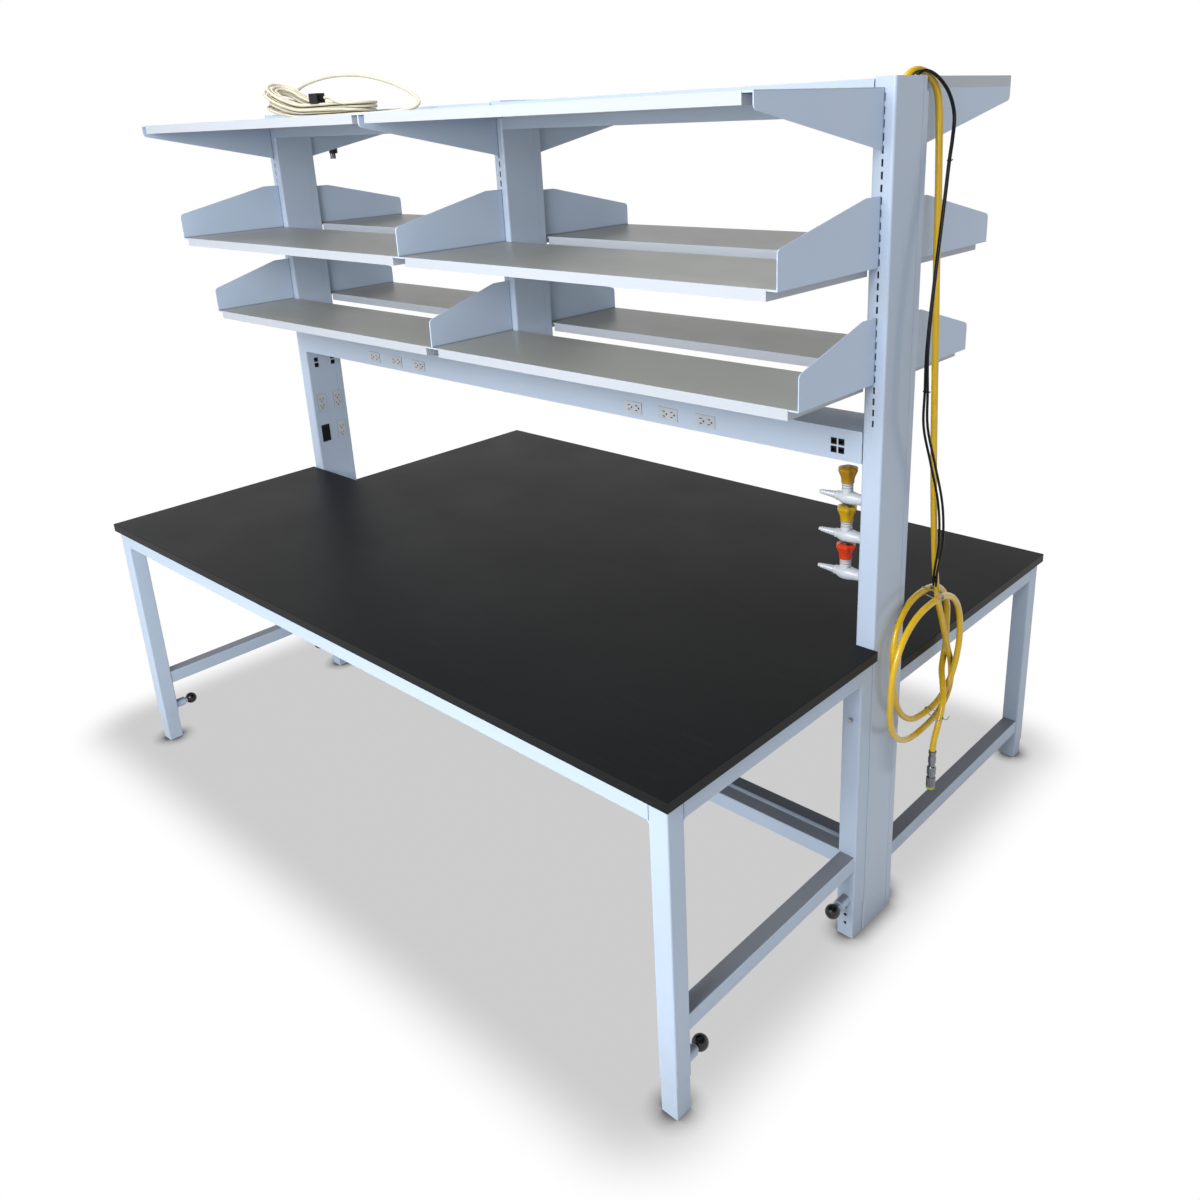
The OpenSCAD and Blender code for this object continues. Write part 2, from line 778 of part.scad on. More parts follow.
// Duplex outlet, drawn facing -Y with its long side along X, seated by a rim behind the panel

module duplex_outlet(wall) {
    difference() {
        union() {
            translate([-outlet_l / 2, -outlet_proud, -outlet_w / 2])
                cube([outlet_l, outlet_proud + wall, outlet_w]);
            translate([-outlet_l / 2 - sheet, wall, -outlet_w / 2 - sheet])
                cube([outlet_l + 2 * sheet, outlet_body, outlet_w + 2 * sheet]);
        }
        for (x = [-1, 1]) translate([x * face_step / 2, -outlet_proud - over, 0]) {
            for (z = [-1, 1]) translate([-blade_h / 2, 0, z * blade_h * blade_gap_share - blade_w / 2])
                cube([blade_h, slot_deep + over, blade_w]);
            translate([blade_h * ground_gap_share, 0, 0]) rotate([-90, 0, 0])
                cylinder(r = ground_r, h = slot_deep + over);
        }
    }
}

module raceway_outlets() {
    color([0.86, 0.87, 0.88]) at_spine()
        for (x = outlet_rows, i = [-1:1])
            translate([x + i * outlet_pitch, -spine_d / 2, device_z])
                duplex_outlet(raceway_wall);
}

module column_outlets() {
    color([0.86, 0.87, 0.88]) at_spine() translate([column_w / 2 - bay_l, 0, 0])
        for (p = [[-1, 0], [1, 0], [1, 1]])
            translate([0, p[0] * column_outlet_y, column_outlet_z[p[1]]])
                rotate([0, 0, 90]) rotate([0, 90, 0]) duplex_outlet(column_wall);
}

// Data jack, drawn facing -Y, with its socket opening

module data_jack(wall) {
    difference() {
        union() {
            translate([-jack_w / 2, -outlet_proud, -jack_w / 2])
                cube([jack_w, outlet_proud + wall, jack_w]);
            translate([-jack_w / 2 - sheet / 2, wall, -jack_w / 2 - sheet / 2])
                cube([jack_w + sheet, outlet_body, jack_w + sheet]);
        }
        translate([-jack_w / 4 - sheet, -outlet_proud - over, -jack_w / 4])
            cube([jack_w / 2 + 2 * sheet, outlet_body / 2, jack_w / 2]);
    }
}

module data_jacks() {
    color([0.07, 0.07, 0.08]) at_spine() {
        for (i = [-1, 1], j = [-1, 1])
            translate([data_x + i * jack_pitch / 2, -spine_d / 2, data_z + j * jack_pitch / 2])
                data_jack(raceway_wall);
        translate([column_w / 2 - bay_l, 0, 0]) for (z = column_jack_z, y = [-1, 1])
            translate([0, y * column_outlet_y, z]) rotate([0, 0, 90]) data_jack(column_wall);
    }
}

// Black switched module on the left column

module column_switch() {
    color([0.06, 0.06, 0.06]) at_spine()
        translate([column_w / 2 - bay_l, -column_outlet_y, column_outlet_z[1]])
            rotate([0, 0, 90]) difference() {
                union() {
                    translate([-outlet_w / 2, -outlet_proud, -outlet_l / 2])
                        cube([outlet_w, outlet_proud + column_wall, outlet_l]);
                    translate([-outlet_w / 2 - sheet, column_wall, -outlet_l / 2 - sheet])
                        cube([outlet_w + 2 * sheet, outlet_body, outlet_l + 2 * sheet]);
                }
                for (z = [-1, 1])
                    translate([-outlet_w / 4, -outlet_proud - over, z * outlet_l / 4 - outlet_w / 4])
                        cube([outlet_w / 2, outlet_proud + over, outlet_w / 2]);
            }
}

// Shelf decks: a sheet with its edges turned down, drawn from the column's face towards -Y

module deck(x0, x1, d, inset) {
    translate([x0, -d, -sheet]) cube([x1 - x0, d - gap, sheet]);
    for (y = [-d, -gap - sheet]) translate([x0 + inset, y, -lip_h])
        cube([x1 - x0 - 2 * inset, sheet, lip_h - sheet / 2]);
    for (x = [x0 + inset, x1 - inset - sheet]) translate([x, -d, -lip_h])
        cube([sheet, d - gap, lip_h - sheet / 2]);
}

// Both bays of one side: side is 0 at the front and 180 at the rear

module on_side(side) {
    at_spine() rotate([0, 0, side]) translate([0, -spine_d / 2, 0]) children();
}

module level_decks(z, d, side) {
    color([0.8, 0.81, 0.82]) on_side(side) for (b = [-1, 0])
        translate([b * bay_l, 0, z])
            deck(sheet + gap, bay_l - sheet - gap, d, ledge_w);
}

// The front top decks hang between their brackets and the rear ones lie on them, level with the
// column tops

module top_level_decks(z, inset, side) {
    color([0.86, 0.88, 0.9]) on_side(side) for (b = [-1, 0])
        translate([b * bay_l, 0, z]) deck(gap / 2, bay_l - gap / 2, top_deck_d, inset);
}

module top_decks_front() top_level_decks(top_deck_z, ledge_w + sheet, 0);
module top_decks_rear() top_level_decks(column_h, 0, 180);
module upper_decks_front() level_decks(upper_deck_z, upper_deck_d, 0);
module upper_decks_rear() level_decks(upper_deck_z, upper_deck_d, 180);
module lower_decks_front() level_decks(lower_deck_z, lower_deck_d, 0);
module lower_decks_rear() level_decks(lower_deck_z, lower_deck_d, 180);

// Tabs that hook into the column's slots, from the slot whose top is nearest below z

function slot_below(z) = slot_top - slot_pitch * ceil((slot_top - z) / slot_pitch);

module tabs(z0, n) {
    for (i = [0:n - 1]) translate([0, -over / 2, slot_below(z0) - slot_h + gap - i * slot_pitch])
        cube([tab_t, tab_in + over / 2, tab_h]);
}

function arc(cx, cy, r, a0, a1) = [for (k = [0:arc_steps])
    let (a = a0 + (a1 - a0) * k / arc_steps)
    [cx + r * cos(a), cy + r * sin(a)]];

// End plate of an adjustable shelf, drawn with y forward from the column and z up from its foot

module end_plate(d, drop) {
    back_h = plate_back_h - drop;
    tip_h = plate_front_h - drop;
    slope = atan2(back_h - tip_h, d - plate_flat);
    rotate([90, 0, -90]) linear_extrude(sheet) polygon(concat(
        [[0, 0], [d, 0]],
        arc(d - plate_r, tip_h - plate_r, plate_r, 0, 90 - slope),
        [[plate_flat, back_h], [0, back_h]]));
}

// Gusset bracket of the top shelf, drawn the same way, level at its top

module top_bracket(d) {
    slope = atan2(bracket_back_h - bracket_front_h, d);
    rotate([90, 0, -90]) linear_extrude(sheet) polygon(concat(
        [[0, -bracket_back_h]],
        arc(d - plate_r, plate_r - bracket_front_h, plate_r, slope - 90, 0),
        [[d, 0], [0, 0]]));
}

// A plate for the bay's left end and its mirror image for the right end

module both_ends(side) {
    on_side(side) for (b = [-1, 0]) {
        translate([b * bay_l, 0, 0]) children();
        translate([(b + 1) * bay_l, 0, 0]) mirror([1, 0, 0]) children();
    }
}

module level_plates(z, d, drop, side) {
    foot_z = z - 2 * sheet;
    color([0.76, 0.8, 0.88]) both_ends(side) {
        translate([sheet, 0, foot_z]) end_plate(d, drop);
        translate([sheet / 2, -d, foot_z]) cube([ledge_w, d - gap, sheet]);
        tabs(foot_z + plate_back_h - drop - sheet, tab_n);
    }
}

module top_level_brackets(z, side) {
    color([0.76, 0.8, 0.88]) both_ends(side) {
        translate([sheet, 0, z]) top_bracket(top_deck_d);
        translate([sheet / 2, -top_deck_d, z - sheet])
            cube([ledge_w, top_deck_d - gap, sheet]);
        tabs(z - sheet, tab_n);
    }
}

module top_brackets_front() top_level_brackets(top_deck_z - sheet, 0);
module top_brackets_rear() top_level_brackets(column_h - lip_h, 180);
module upper_plates_front() level_plates(upper_deck_z, upper_deck_d, 0, 0);
module upper_plates_rear() level_plates(upper_deck_z, upper_deck_d, rear_plate_drop, 180);
module lower_plates_front() level_plates(lower_deck_z, lower_deck_d, 0, 0);
module lower_plates_rear() level_plates(lower_deck_z, lower_deck_d, rear_plate_drop, 180);

// Service valves on the inner face of the right column, pointing towards -X

module at_valve(i) {
    at_spine() translate([bay_l - column_w / 2, valve_y, valve_z + i * valve_step]) children();
}

module valve_body() {
    difference() {
        union() {
            rotate([0, -90, 0]) cylinder(r = flange_r, h = flange_t);
            translate([column_wall, 0, 0]) rotate([0, -90, 0])
                cylinder(r = valve_arm_r, h = valve_reach + column_wall);
            translate([-valve_reach, 0, 0]) sphere(r = valve_neck_r + gap);
            translate([-valve_reach, 0, 0]) cylinder(r = valve_neck_r, h = valve_neck_h);
            translate([-valve_reach, 0, 0]) rotate([0, -90, 0])
                cylinder(r = valve_arm_r - gap, h = valve_arm_r + nozzle_r);
            translate([-valve_reach - valve_arm_r - nozzle_r, 0, 0]) rotate([0, -90, 0])
                cylinder(r1 = nozzle_r, r2 = nozzle_tip_r, h = nozzle_l - nozzle_r);
        }
        translate([-valve_reach - valve_arm_r, 0, 0]) rotate([0, -90, 0])
            cylinder(r = nozzle_bore, h = nozzle_l + nozzle_r);
        translate([-valve_reach, 0, valve_neck_h - neck_ring_drop]) difference() {
            cylinder(r = valve_neck_r + over, h = seam);
            translate([0, 0, -over]) cylinder(r = valve_neck_r - seam / 2, h = seam + 2 * over);
        }
    }
    translate([-valve_reach, 0, valve_neck_h]) cylinder(r = pin_r, h = knob_h / 2);
}

module valve_bodies() {
    color([0.93, 0.93, 0.92]) for (i = [0:2]) at_valve(i) valve_body();
}

// Valve knob: a star of rounded lobes that swells upwards to a shoulder and a crown

function star(r, z, valley) = [for (k = [0:2 * knob_lobes - 1]) let (a = 180 * k / knob_lobes)
    let (q = k % 2 == 0 ? r : r * valley) [q * cos(a), q * sin(a), z]];

module star_loft() {
    n = 2 * knob_lobes;
    rings = [
        star(knob_r * knob_waist_share, 0, knob_valley_share),
        star(knob_r, knob_h * knob_shoulder_share, knob_valley_share),
        star(knob_r * knob_shoulder_share, knob_h * knob_crest_share, crest_valley_share),
        star(knob_r * knob_crown_share, knob_h, crown_valley_share)];
    walls = [for (i = [0:2], k = [0:n - 1]) let (j = (k + 1) % n)
        each [[i * n + k, (i + 1) * n + k, (i + 1) * n + j],
            [i * n + k, (i + 1) * n + j, i * n + j]]];
    ends = [for (k = [1:n - 2]) each [[0, k, k + 1], [3 * n, 3 * n + k + 1, 3 * n + k]]];
    polyhedron(points = [for (s = rings) each s], faces = concat(walls, ends));
}

module valve_knob(i, shade) {
    color(shade) at_valve(i) translate([-valve_reach, 0, valve_neck_h + gap]) difference() {
        star_loft();
        translate([0, 0, -over]) cylinder(r = stem_bore, h = knob_h / 2 + over + gap);
    }
}

module valve_knob_lower() valve_knob(0, [0.88, 0.27, 0.03]);
module valve_knob_middle() valve_knob(1, [0.87, 0.68, 0.06]);
module valve_knob_upper() valve_knob(2, [0.78, 0.58, 0.1]);

// Yellow hose: it drops from the column's top, is gathered in loops and ends in a coupling.
// The loops start and end on the side where the hose runs down.

function coil_point(a) = let (f = (a - 90) / 360)
    [coil_x + coil_lay * f, coil_mid_y + (coil_y - coil_draw * f) * sin(a),
        coil_mid_z + (coil_z - coil_draw * f) * cos(a)];

HOSE_COIL = concat([[coil_x, coil_mid_y + coil_y, coil_mid_z], [coil_x, coil_mid_y + coil_y,
    coil_mid_z - hose_d]],
    [for (k = [1:loop_rings * coil_turns + loop_rings / 6])
        coil_point(90 + 360 * k / loop_rings)], HOSE_TAIL);

module hose_drop() {
    color([0.93, 0.76, 0.05]) at_column_top() swept(HOSE, hose_d / 2, tube_sides);
}

module hose_coil() {
    echo(hose_coil_least_gap = least_gap(HOSE_COIL, 6, hose_d));
    color([0.93, 0.76, 0.05]) at_column_top() swept(HOSE_COIL, hose_d / 2, coil_sides);
}

// Quick coupling on the hose's end: a crimped ferrule, a hexagon, a sleeve and a nose

module hose_coupling() {
    r = hose_d / 2;
    color([0.75, 0.76, 0.78]) at_column_top() translate(HOSE_TAIL[len(HOSE_TAIL) - 1])
        rotate([180, 0, 0]) {
            rotate_extrude() polygon(r * ferrule_shares);
            translate([0, 0, r * nut_shares[1]])
                cylinder(r = r * nut_shares[0], h = r * (nut_shares[2] - nut_shares[1]), $fn = 6);
            rotate_extrude() polygon(r * sleeve_shares);
        }
}

// Wire ties round the loops: a flat ring drawn across two tubes that lie side by side

module tie_ring(a, b) {
    l = norm(b - a);
    r = hose_d / 2 + gap;
    translate(a) rotate([0, -atan2(b[2] - a[2], b[0] - a[0]), 0]) rotate([90, 0, 0])
        linear_extrude(tie_t, center = true) difference() {
            union() {
                translate([0, -r - tie_t]) square([l, 2 * r + 2 * tie_t]);
                for (x = [0, l]) translate([x, 0]) circle(r = r + tie_t);
            }
            translate([0, -r]) square([l, 2 * r]);
            for (x = [0, l]) translate([x, 0]) circle(r = r);
        }
}

module hose_ties() {
    color([0.5, 0.5, 0.52]) at_column_top() for (a = [360, 180])
        tie_ring(coil_point(a), coil_point(a + 360));
}

// Two black control cables that hang side by side, with their ties and end boots

module black_cables() {
    color([0.05, 0.05, 0.05]) at_column_top() for (s = [[0, 0, 0], CABLE_STEP])
        swept([for (p = CABLE) p + s], cable_d / 2, tube_sides);
}

module cable_tie(at) {
    w = norm(CABLE_STEP) + cable_d;
    translate(at + CABLE_STEP / 2) rotate([0, 0, atan2(CABLE_STEP[1], CABLE_STEP[0])])
        difference() {
            cube([w + tie_t, cable_d + tie_t, 2 * tie_t], center = true);
            cube([w - fit, cable_d - fit, 2 * tie_t + over], center = true);
        }
}

module cable_ends() {
    color([0.05, 0.05, 0.05]) at_column_top() {
        for (s = [[0, 0, 0], CABLE_STEP])
            translate(CABLE[len(CABLE) - 1] + s - [0, 0, boot_l])
                cylinder(r1 = cable_d * boot_shares[0], r2 = cable_d * boot_shares[1], h = boot_l);
        for (i = CABLE_TIES) cable_tie(CABLE[i]);
    }
}

// Cream extension cord: a hank of long loops, in layers that spiral in and out by turns as
// they go down to the shelf. Its left end stands up off the shelf.

function hank_in(u) = let (k = floor(u / hank_turns), v = u - k * hank_turns)
    k % 2 == 0 ? hank_turns - v : v;
function ramp(t) = let (c = max(0, min(1, t))) c * c * (3 - 2 * c);
function layers_down(u, k) = k == hank_layers ? 0 :
    ramp(2 * (u - k * hank_turns) + 0.5) + layers_down(u, k + 1);
function hank_z(u) = cord_d / 2 + cord_d * hank_layer_share * (hank_layers - 1 - layers_down(u, 1));
function hank_flat(u) = let (s = u - floor(u), r = hank_r + hank_lay * hank_in(u), l = hank_l)
    s < 1 / 3 ? [l + r * cos(540 * s - 90), r * sin(540 * s - 90)] :
    s < 1 / 2 ? [l - 12 * l * (s - 1 / 3), r] :
    s < 5 / 6 ? [r * cos(540 * s - 180) - l, r * sin(540 * s - 180)] :
    [12 * l * (s - 5 / 6) - l, -r];
function rise(x) = hank_rise * pow(max(0, -x) / (hank_l + hank_r), 2);
function on_shelf(x, y, z) = [hank_at[0] + x, hank_at[1] + y, top_deck_z + z];
function hank_point(u) = let (q = hank_flat(u)) on_shelf(q[0], q[1], hank_z(u) + rise(q[0]));

SOCKET = on_shelf(socket_at[0], socket_at[1], hank_z(0) + cord_d / 2 + socket_h / 2 + gap);
LEAD_PATH = [for (p = LEAD) p + [0, 0, top_deck_z]];
HANK = concat([for (p = SOCKET_END) SOCKET + p],
    [for (k = [0:loop_rings * hank_turns * hank_layers - 2]) hank_point((k + 0.5) / loop_rings)],
    [LEAD_PATH[0] - [cord_d, 0, 0], LEAD_PATH[0]]);

module cord_hank() {
    echo(hank_least_gap = least_gap(HANK, 5, cord_d));
    color([0.9, 0.88, 0.8]) at_spine() swept(HANK, cord_d / 2, coil_sides);
}

module cord_lead() {
    color([0.9, 0.88, 0.8]) at_spine() swept(LEAD_PATH, cord_d / 2, tube_sides);
}

// Moulded plug: a tapered strain relief, a round body and three pins

module cord_plug() {
    color([0.07, 0.07, 0.07]) at_spine() translate(LEAD_PATH[len(LEAD) - 1]) rotate([180, 0, 0]) {
        rotate_extrude() polygon([[0, 0], [relief_shares[0] * cord_d, 0],
            [relief_shares[1] * cord_d, relief_l], [plug_r * plug_neck_share, relief_l + plug_bevel],
            [plug_r, relief_l + plug_neck_l], [plug_r, relief_l + plug_l - plug_bevel],
            [plug_r - plug_bevel, relief_l + plug_l], [0, relief_l + plug_l]]);
        for (x = [-1, 1]) translate([x * pin_gap / 2 - pin_t / 2, -pin_w / 2, relief_l + plug_l])
            cube([pin_t, pin_w, prong_l]);
        translate([0, pin_gap * ground_pin_shares[0], relief_l + plug_l])
            cylinder(r = pin_w * ground_pin_shares[1], h = prong_l);
    }
}

// Moulded socket on the cord's other end, lying on the hank

module cord_socket() {
    color([0.07, 0.07, 0.07]) at_spine() translate(SOCKET) rotate([0, -90, 0]) difference() {
        union() {
            rotate_extrude() polygon([[0, 0], [relief_shares[0] * cord_d, 0],
                [relief_shares[1] * cord_d, relief_l], [0, relief_l]]);
            translate([-socket_h / 2, -socket_h / 2, relief_l]) cube([socket_h, socket_h, socket_l]);
        }
        for (y = [-1, 1])
            translate([-pin_w / 2, y * pin_gap / 2 - pin_t / 2, relief_l + socket_l - slot_deep])
                cube([pin_w, pin_t, slot_deep + over]);
    }
}

front_worktop();
rear_worktop();
front_legs();
front_aprons();
front_braces();
rear_legs();
rear_aprons();
rear_braces();
foot_front_left();
foot_front_right();
foot_front_inner_left();
foot_front_inner_right();
foot_rear_left();
foot_rear_right();
foot_rear_inner_left();
foot_rear_inner_right();
plunger_barrels();
plunger_left();
plunger_right();
plunger_inner_left();
plunger_inner_right();
frame_bolts();
column_left();
column_middle();
column_right();
column_caps();
service_grommet();
raceway();
header_boxes();
raceway_outlets();
column_outlets();
data_jacks();
column_switch();
top_decks_front();
top_decks_rear();
upper_decks_front();
upper_decks_rear();
lower_decks_front();
lower_decks_rear();
top_brackets_front();
top_brackets_rear();
upper_plates_front();
upper_plates_rear();
lower_plates_front();
lower_plates_rear();
valve_bodies();
valve_knob_lower();
valve_knob_middle();
valve_knob_upper();
hose_drop();
hose_coil();
hose_coupling();
hose_ties();
black_cables();
cable_ends();
cord_hank();
cord_lead();
cord_plug();
cord_socket();
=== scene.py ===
# %% [markdown]
# A laboratory bench with two black worktops back to back, a slotted steel spine between
# them, reagent shelves, a power raceway, service valves, a yellow hose and two sorts of cord.
# The rigid parts come packed from CAD as a fixed frame, and this lesson gives them their
# finishes, replaces the plain tubes of the hose and cords, and adds the small shapes that a
# solid model leaves plain. Everything is in metres, in the same frame as the CAD.

import json
import math
import bmesh
import bpy
from mathutils import Matrix, Vector


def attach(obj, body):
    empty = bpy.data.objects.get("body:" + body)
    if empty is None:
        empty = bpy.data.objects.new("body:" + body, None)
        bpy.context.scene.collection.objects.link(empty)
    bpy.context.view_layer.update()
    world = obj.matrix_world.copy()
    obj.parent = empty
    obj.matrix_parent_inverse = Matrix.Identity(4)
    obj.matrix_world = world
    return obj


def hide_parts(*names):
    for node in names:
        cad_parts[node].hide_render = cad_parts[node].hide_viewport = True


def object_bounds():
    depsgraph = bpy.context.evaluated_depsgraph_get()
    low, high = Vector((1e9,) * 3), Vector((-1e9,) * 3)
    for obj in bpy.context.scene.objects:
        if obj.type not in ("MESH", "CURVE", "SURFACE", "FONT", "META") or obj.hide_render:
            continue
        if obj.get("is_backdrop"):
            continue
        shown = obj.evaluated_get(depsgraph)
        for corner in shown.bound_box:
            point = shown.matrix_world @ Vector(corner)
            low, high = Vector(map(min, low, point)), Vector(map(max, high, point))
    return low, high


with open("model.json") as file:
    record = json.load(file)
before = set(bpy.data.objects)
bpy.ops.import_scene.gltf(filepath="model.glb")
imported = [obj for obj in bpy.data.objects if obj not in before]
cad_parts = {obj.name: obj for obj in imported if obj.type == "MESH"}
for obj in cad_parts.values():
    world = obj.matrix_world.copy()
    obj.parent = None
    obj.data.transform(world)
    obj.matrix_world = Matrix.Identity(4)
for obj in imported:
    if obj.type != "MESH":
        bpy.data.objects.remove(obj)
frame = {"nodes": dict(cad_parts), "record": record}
CAD_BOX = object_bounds()
MM = 0.001
print("nodes", len(frame["nodes"]), "box", CAD_BOX)

# %% [markdown]
# The hose, the cords and the valves hang on steelwork that the frame already holds. Their
# places could be typed in, but then a changed bench would leave them hanging in the air, so they
# are measured from the boxes of the nodes that carry them. The spine is the middle plane of the
# columns, and all boxes are in millimetres.


# %% Places measured from the frame
def node_box(name):
    piece = frame["nodes"][name]
    points = [piece.matrix_world @ v.co / MM for v in piece.data.vertices]
    return [[round(pick(p[i] for p in points), 3) for i in range(3)] for pick in (min, max)]


def middle(box):
    return [(low + high) / 2 for low, high in zip(*box)]


COLUMN, TOP_DECKS = node_box("column_right"), node_box("top_decks_front")
SPINE_X, SPINE_Y = middle(TOP_DECKS)[0], middle(COLUMN)[1]
SPINE = Vector((SPINE_X, SPINE_Y, 0)) * MM
COLUMN_TOP = SPINE + Vector((middle(COLUMN)[0] - SPINE_X, 0, COLUMN[1][2])) * MM
TOP_SHELF = SPINE + Vector((0, 0, TOP_DECKS[1][2])) * MM
print("column top", COLUMN_TOP, "top shelf", TOP_SHELF)

# %% [markdown]
# The camera stood high at the bench's right front corner, close enough for strong
# perspective. It could be placed by eye, but then no edge would lie over the photograph's.
# So its place, turn and lens were solved from corners of the tables and columns, and the
# shift puts the horizon where it was.

# %% Camera
CAMERA_AT = (2.3594, -2.1625, 2.0253)
CAMERA_TURN = (70.302, 2.303, 42.393)
SENSOR_MM, LENS_MM = 36, 32.013
LENS_SHIFT = (-0.0276, -0.0837)


def make_camera():
    data = bpy.data.cameras.new("bench_camera")
    data.sensor_width = SENSOR_MM
    data.lens = LENS_MM
    data.shift_x, data.shift_y = LENS_SHIFT
    camera = bpy.data.objects.new("bench_camera", data)
    camera.location = CAMERA_AT
    camera.rotation_euler = [math.radians(a) for a in CAMERA_TURN]
    bpy.context.collection.objects.link(camera)
    bpy.context.scene.camera = camera


make_camera()
print("camera at", CAMERA_AT, "lens", LENS_MM, "mm")

# %% [markdown]
# A cord is settled before anything else: where it leaves, its route, its thickness and its
# end. A simulated cord would hang well but never quite as in the photograph, so the routes are
# listed points, in millimetres. Those of the hose and the black cables are measured from
# the middle of the right column's top, and that of the extension cord from the spine's middle
# and the front top shelf's surface. The second cable lies beside the first, by the steps given,
# and the two are tied together at two points of the route.

# %% Routes of the hose and the cords
HOSE_D, CABLE_D, CORD_D = 16, 6, 9
HOSE_DROP = [
    (-4, -6, -75), (-4, -6, -54), (-4, 2, -23), (-3, 26, 2), (1, 58, 11), (8, 90, 2),
    (15, 114, -24), (19, 124, -70), (22, 128, -162), (25, 130, -255), (28, 132, -384),
    (31, 139, -534), (35, 143, -680), (39, 148, -825), (42, 160, -978)]
CABLE = [
    (6, 14, -75), (6, 14, -60), (7, 28, -14), (14, 56, 9), (26, 92, -2), (37, 126, -35),
    (44, 142, -80), (49, 129, -130), (51, 117, -170), (54, 99, -255), (58, 66, -420),
    (58, 49, -560), (59, 49, -658), (59, 52, -740), (59, 94, -835), (59, 145, -950),
    (59, 162, -1050), (58, 150, -1125), (58, 148, -1142)]
CABLE_APART = [(5, -5.5, 0)] * 11 + [
    (6, -4, 0), (8, -2, 0), (10, 0, 0), (11, 0, 0), (11, 0, 0), (10, 0, 0), (8, -1, 0), (7.5, -1, 0)]
CABLE_TIES = (8, 12)
LEAD = [
    (-623, -228, 4.5), (-550, -228, 4.5), (-490, -228, 4.5), (-390, -222, 4.5),
    (-310, -208, 5), (-262, -184, 8), (-243, -155, 15), (-255, -128, 30), (-310, -110, 54),
    (-400, -101, 82), (-490, -97, 102), (-580, -95, 115), (-670, -94, 120),
    (-755, -92, 119), (-840, -89, 112), (-925, -80, 100), (-1000, -58, 84), (-1062, -12, 64),
    (-1108, 52, 48), (-1148, 118, 38), (-1186, 168, 29), (-1211, 187, 4),
    (-1217, 190, -24), (-1217, 190, -44), (-1217, 190, -62)]
print("route points", len(HOSE_DROP), len(CABLE), len(LEAD))

# %% [markdown]
# A route of a few points would bend at each of them. A spline object could round them, but a
# plain function shows how it is done: the curve goes through every point, there in the direction
# from the point before to the point after. It is sampled finely enough for no visible corner.

# %% Smooth curves through the points
HOSE_STEPS, CABLE_STEPS, CORD_STEPS, WIRE_STEPS = 8, 5, 3, 6


def smooth(points, steps):
    points = [Vector(p) for p in points]
    out = []
    for i in range(len(points) - 1):
        a, b, c, d = (points[min(max(j, 0), len(points) - 1)] for j in range(i - 1, i + 3))
        for k in range(steps):
            t = k / steps
            out.append((2 * b + (c - a) * t + (2 * a - 5 * b + 4 * c - d) * t * t
                        + (3 * b - a - 3 * c + d) * t ** 3) / 2)
    return out + [points[-1]]


def run_length(path):
    return sum((b - a).length for a, b in zip(path, path[1:]))


def from_origin(origin, path):
    return [p * MM + origin for p in path]


print("steps between points", HOSE_STEPS, CABLE_STEPS, CORD_STEPS, WIRE_STEPS)

# %% [markdown]
# The hose was gathered by hand, so its two and a half loops are uneven: the outer one hangs
# lower, the inner ones are rounder, and the last strand crosses under them to the coupling.
# One helix would be too regular. Instead the outermost points of each loop are given, and a
# quarter turn, a little squarer than an ellipse, runs from each to the next. The strands pass
# each other with at least a hose width between their middles.

# %% The hose's loops
LOOPS_START = [
    (44, 172, -1090), (46, 184, -1168), (47, 200, -1228), (47, 218, -1270), (47, 245, -1332),
    (48, 274, -1400), (49, 290, -1436)]
LOOPS_OUTERMOST = [
    (50, 296, -1474), (55, 152, -1568), (70, -62, -1382), (73, 130, -1198), (71, 286, -1366),
    (52, 165, -1529), (45, -12, -1322), (31, 128, -1190), (21, 312, -1350)]
LOOPS_END = [
    (24, 308, -1396), (30, 286, -1432), (42, 256, -1452), (60, 228, -1469), (76, 203, -1492),
    (85, 180, -1522), (88, 159, -1556), (87, 146, -1588), (87, 141, -1609), (87, 140, -1622)]
QUARTER_STEPS, QUARTER_POWER = 6, 0.85


def quarter_turns(points):
    turns = []
    for i, (a, b) in enumerate(zip(points, points[1:])):
        for k in range(QUARTER_STEPS):
            part = k / QUARTER_STEPS
            late = 1 - math.cos(math.pi / 2 * part) ** QUARTER_POWER
            early = math.sin(math.pi / 2 * part) ** QUARTER_POWER
            share = (part, late, early) if i % 2 == 0 else (part, early, late)
            turns.append([p + (q - p) * s for p, q, s in zip(a, b, share)])
    return turns + points[-1:]


HOSE_LOOPS = LOOPS_START + quarter_turns(LOOPS_OUTERMOST) + LOOPS_END
HOSE_PATH = from_origin(COLUMN_TOP, smooth(HOSE_DROP + HOSE_LOOPS, HOSE_STEPS))
print("hose", round(run_length(HOSE_PATH), 3), "m")

# %% [markdown]
# The extension cord lies in a hank on the left top shelf: four layers of long loops, one on
# another. Such a hank could be a ring copied many times, but a real one is a single cord, so
# functions say, for any count of turns, how far the cord has spiralled in and how many layers
# it has come down. It eases down from one layer to the next within half a turn.

# %% Layers of the hank
HANK_TURNS, HANK_LAYERS = 3, 4
HANK_STEP = CORD_D * 1.2


def turned_in(u):
    layer = math.floor(u / HANK_TURNS)
    v = u - layer * HANK_TURNS
    return HANK_TURNS - v if layer % 2 == 0 else v


def eased(t):
    t = min(max(t, 0), 1)
    return t * t * (3 - 2 * t)


def hank_down(u):
    return sum(eased(2 * (u - k * HANK_TURNS) + 0.5) for k in range(1, HANK_LAYERS))


def hank_height(u):
    return CORD_D / 2 + HANK_STEP * (HANK_LAYERS - 1 - hank_down(u))


print("hank is", hank_height(0) + CORD_D / 2, "mm high")

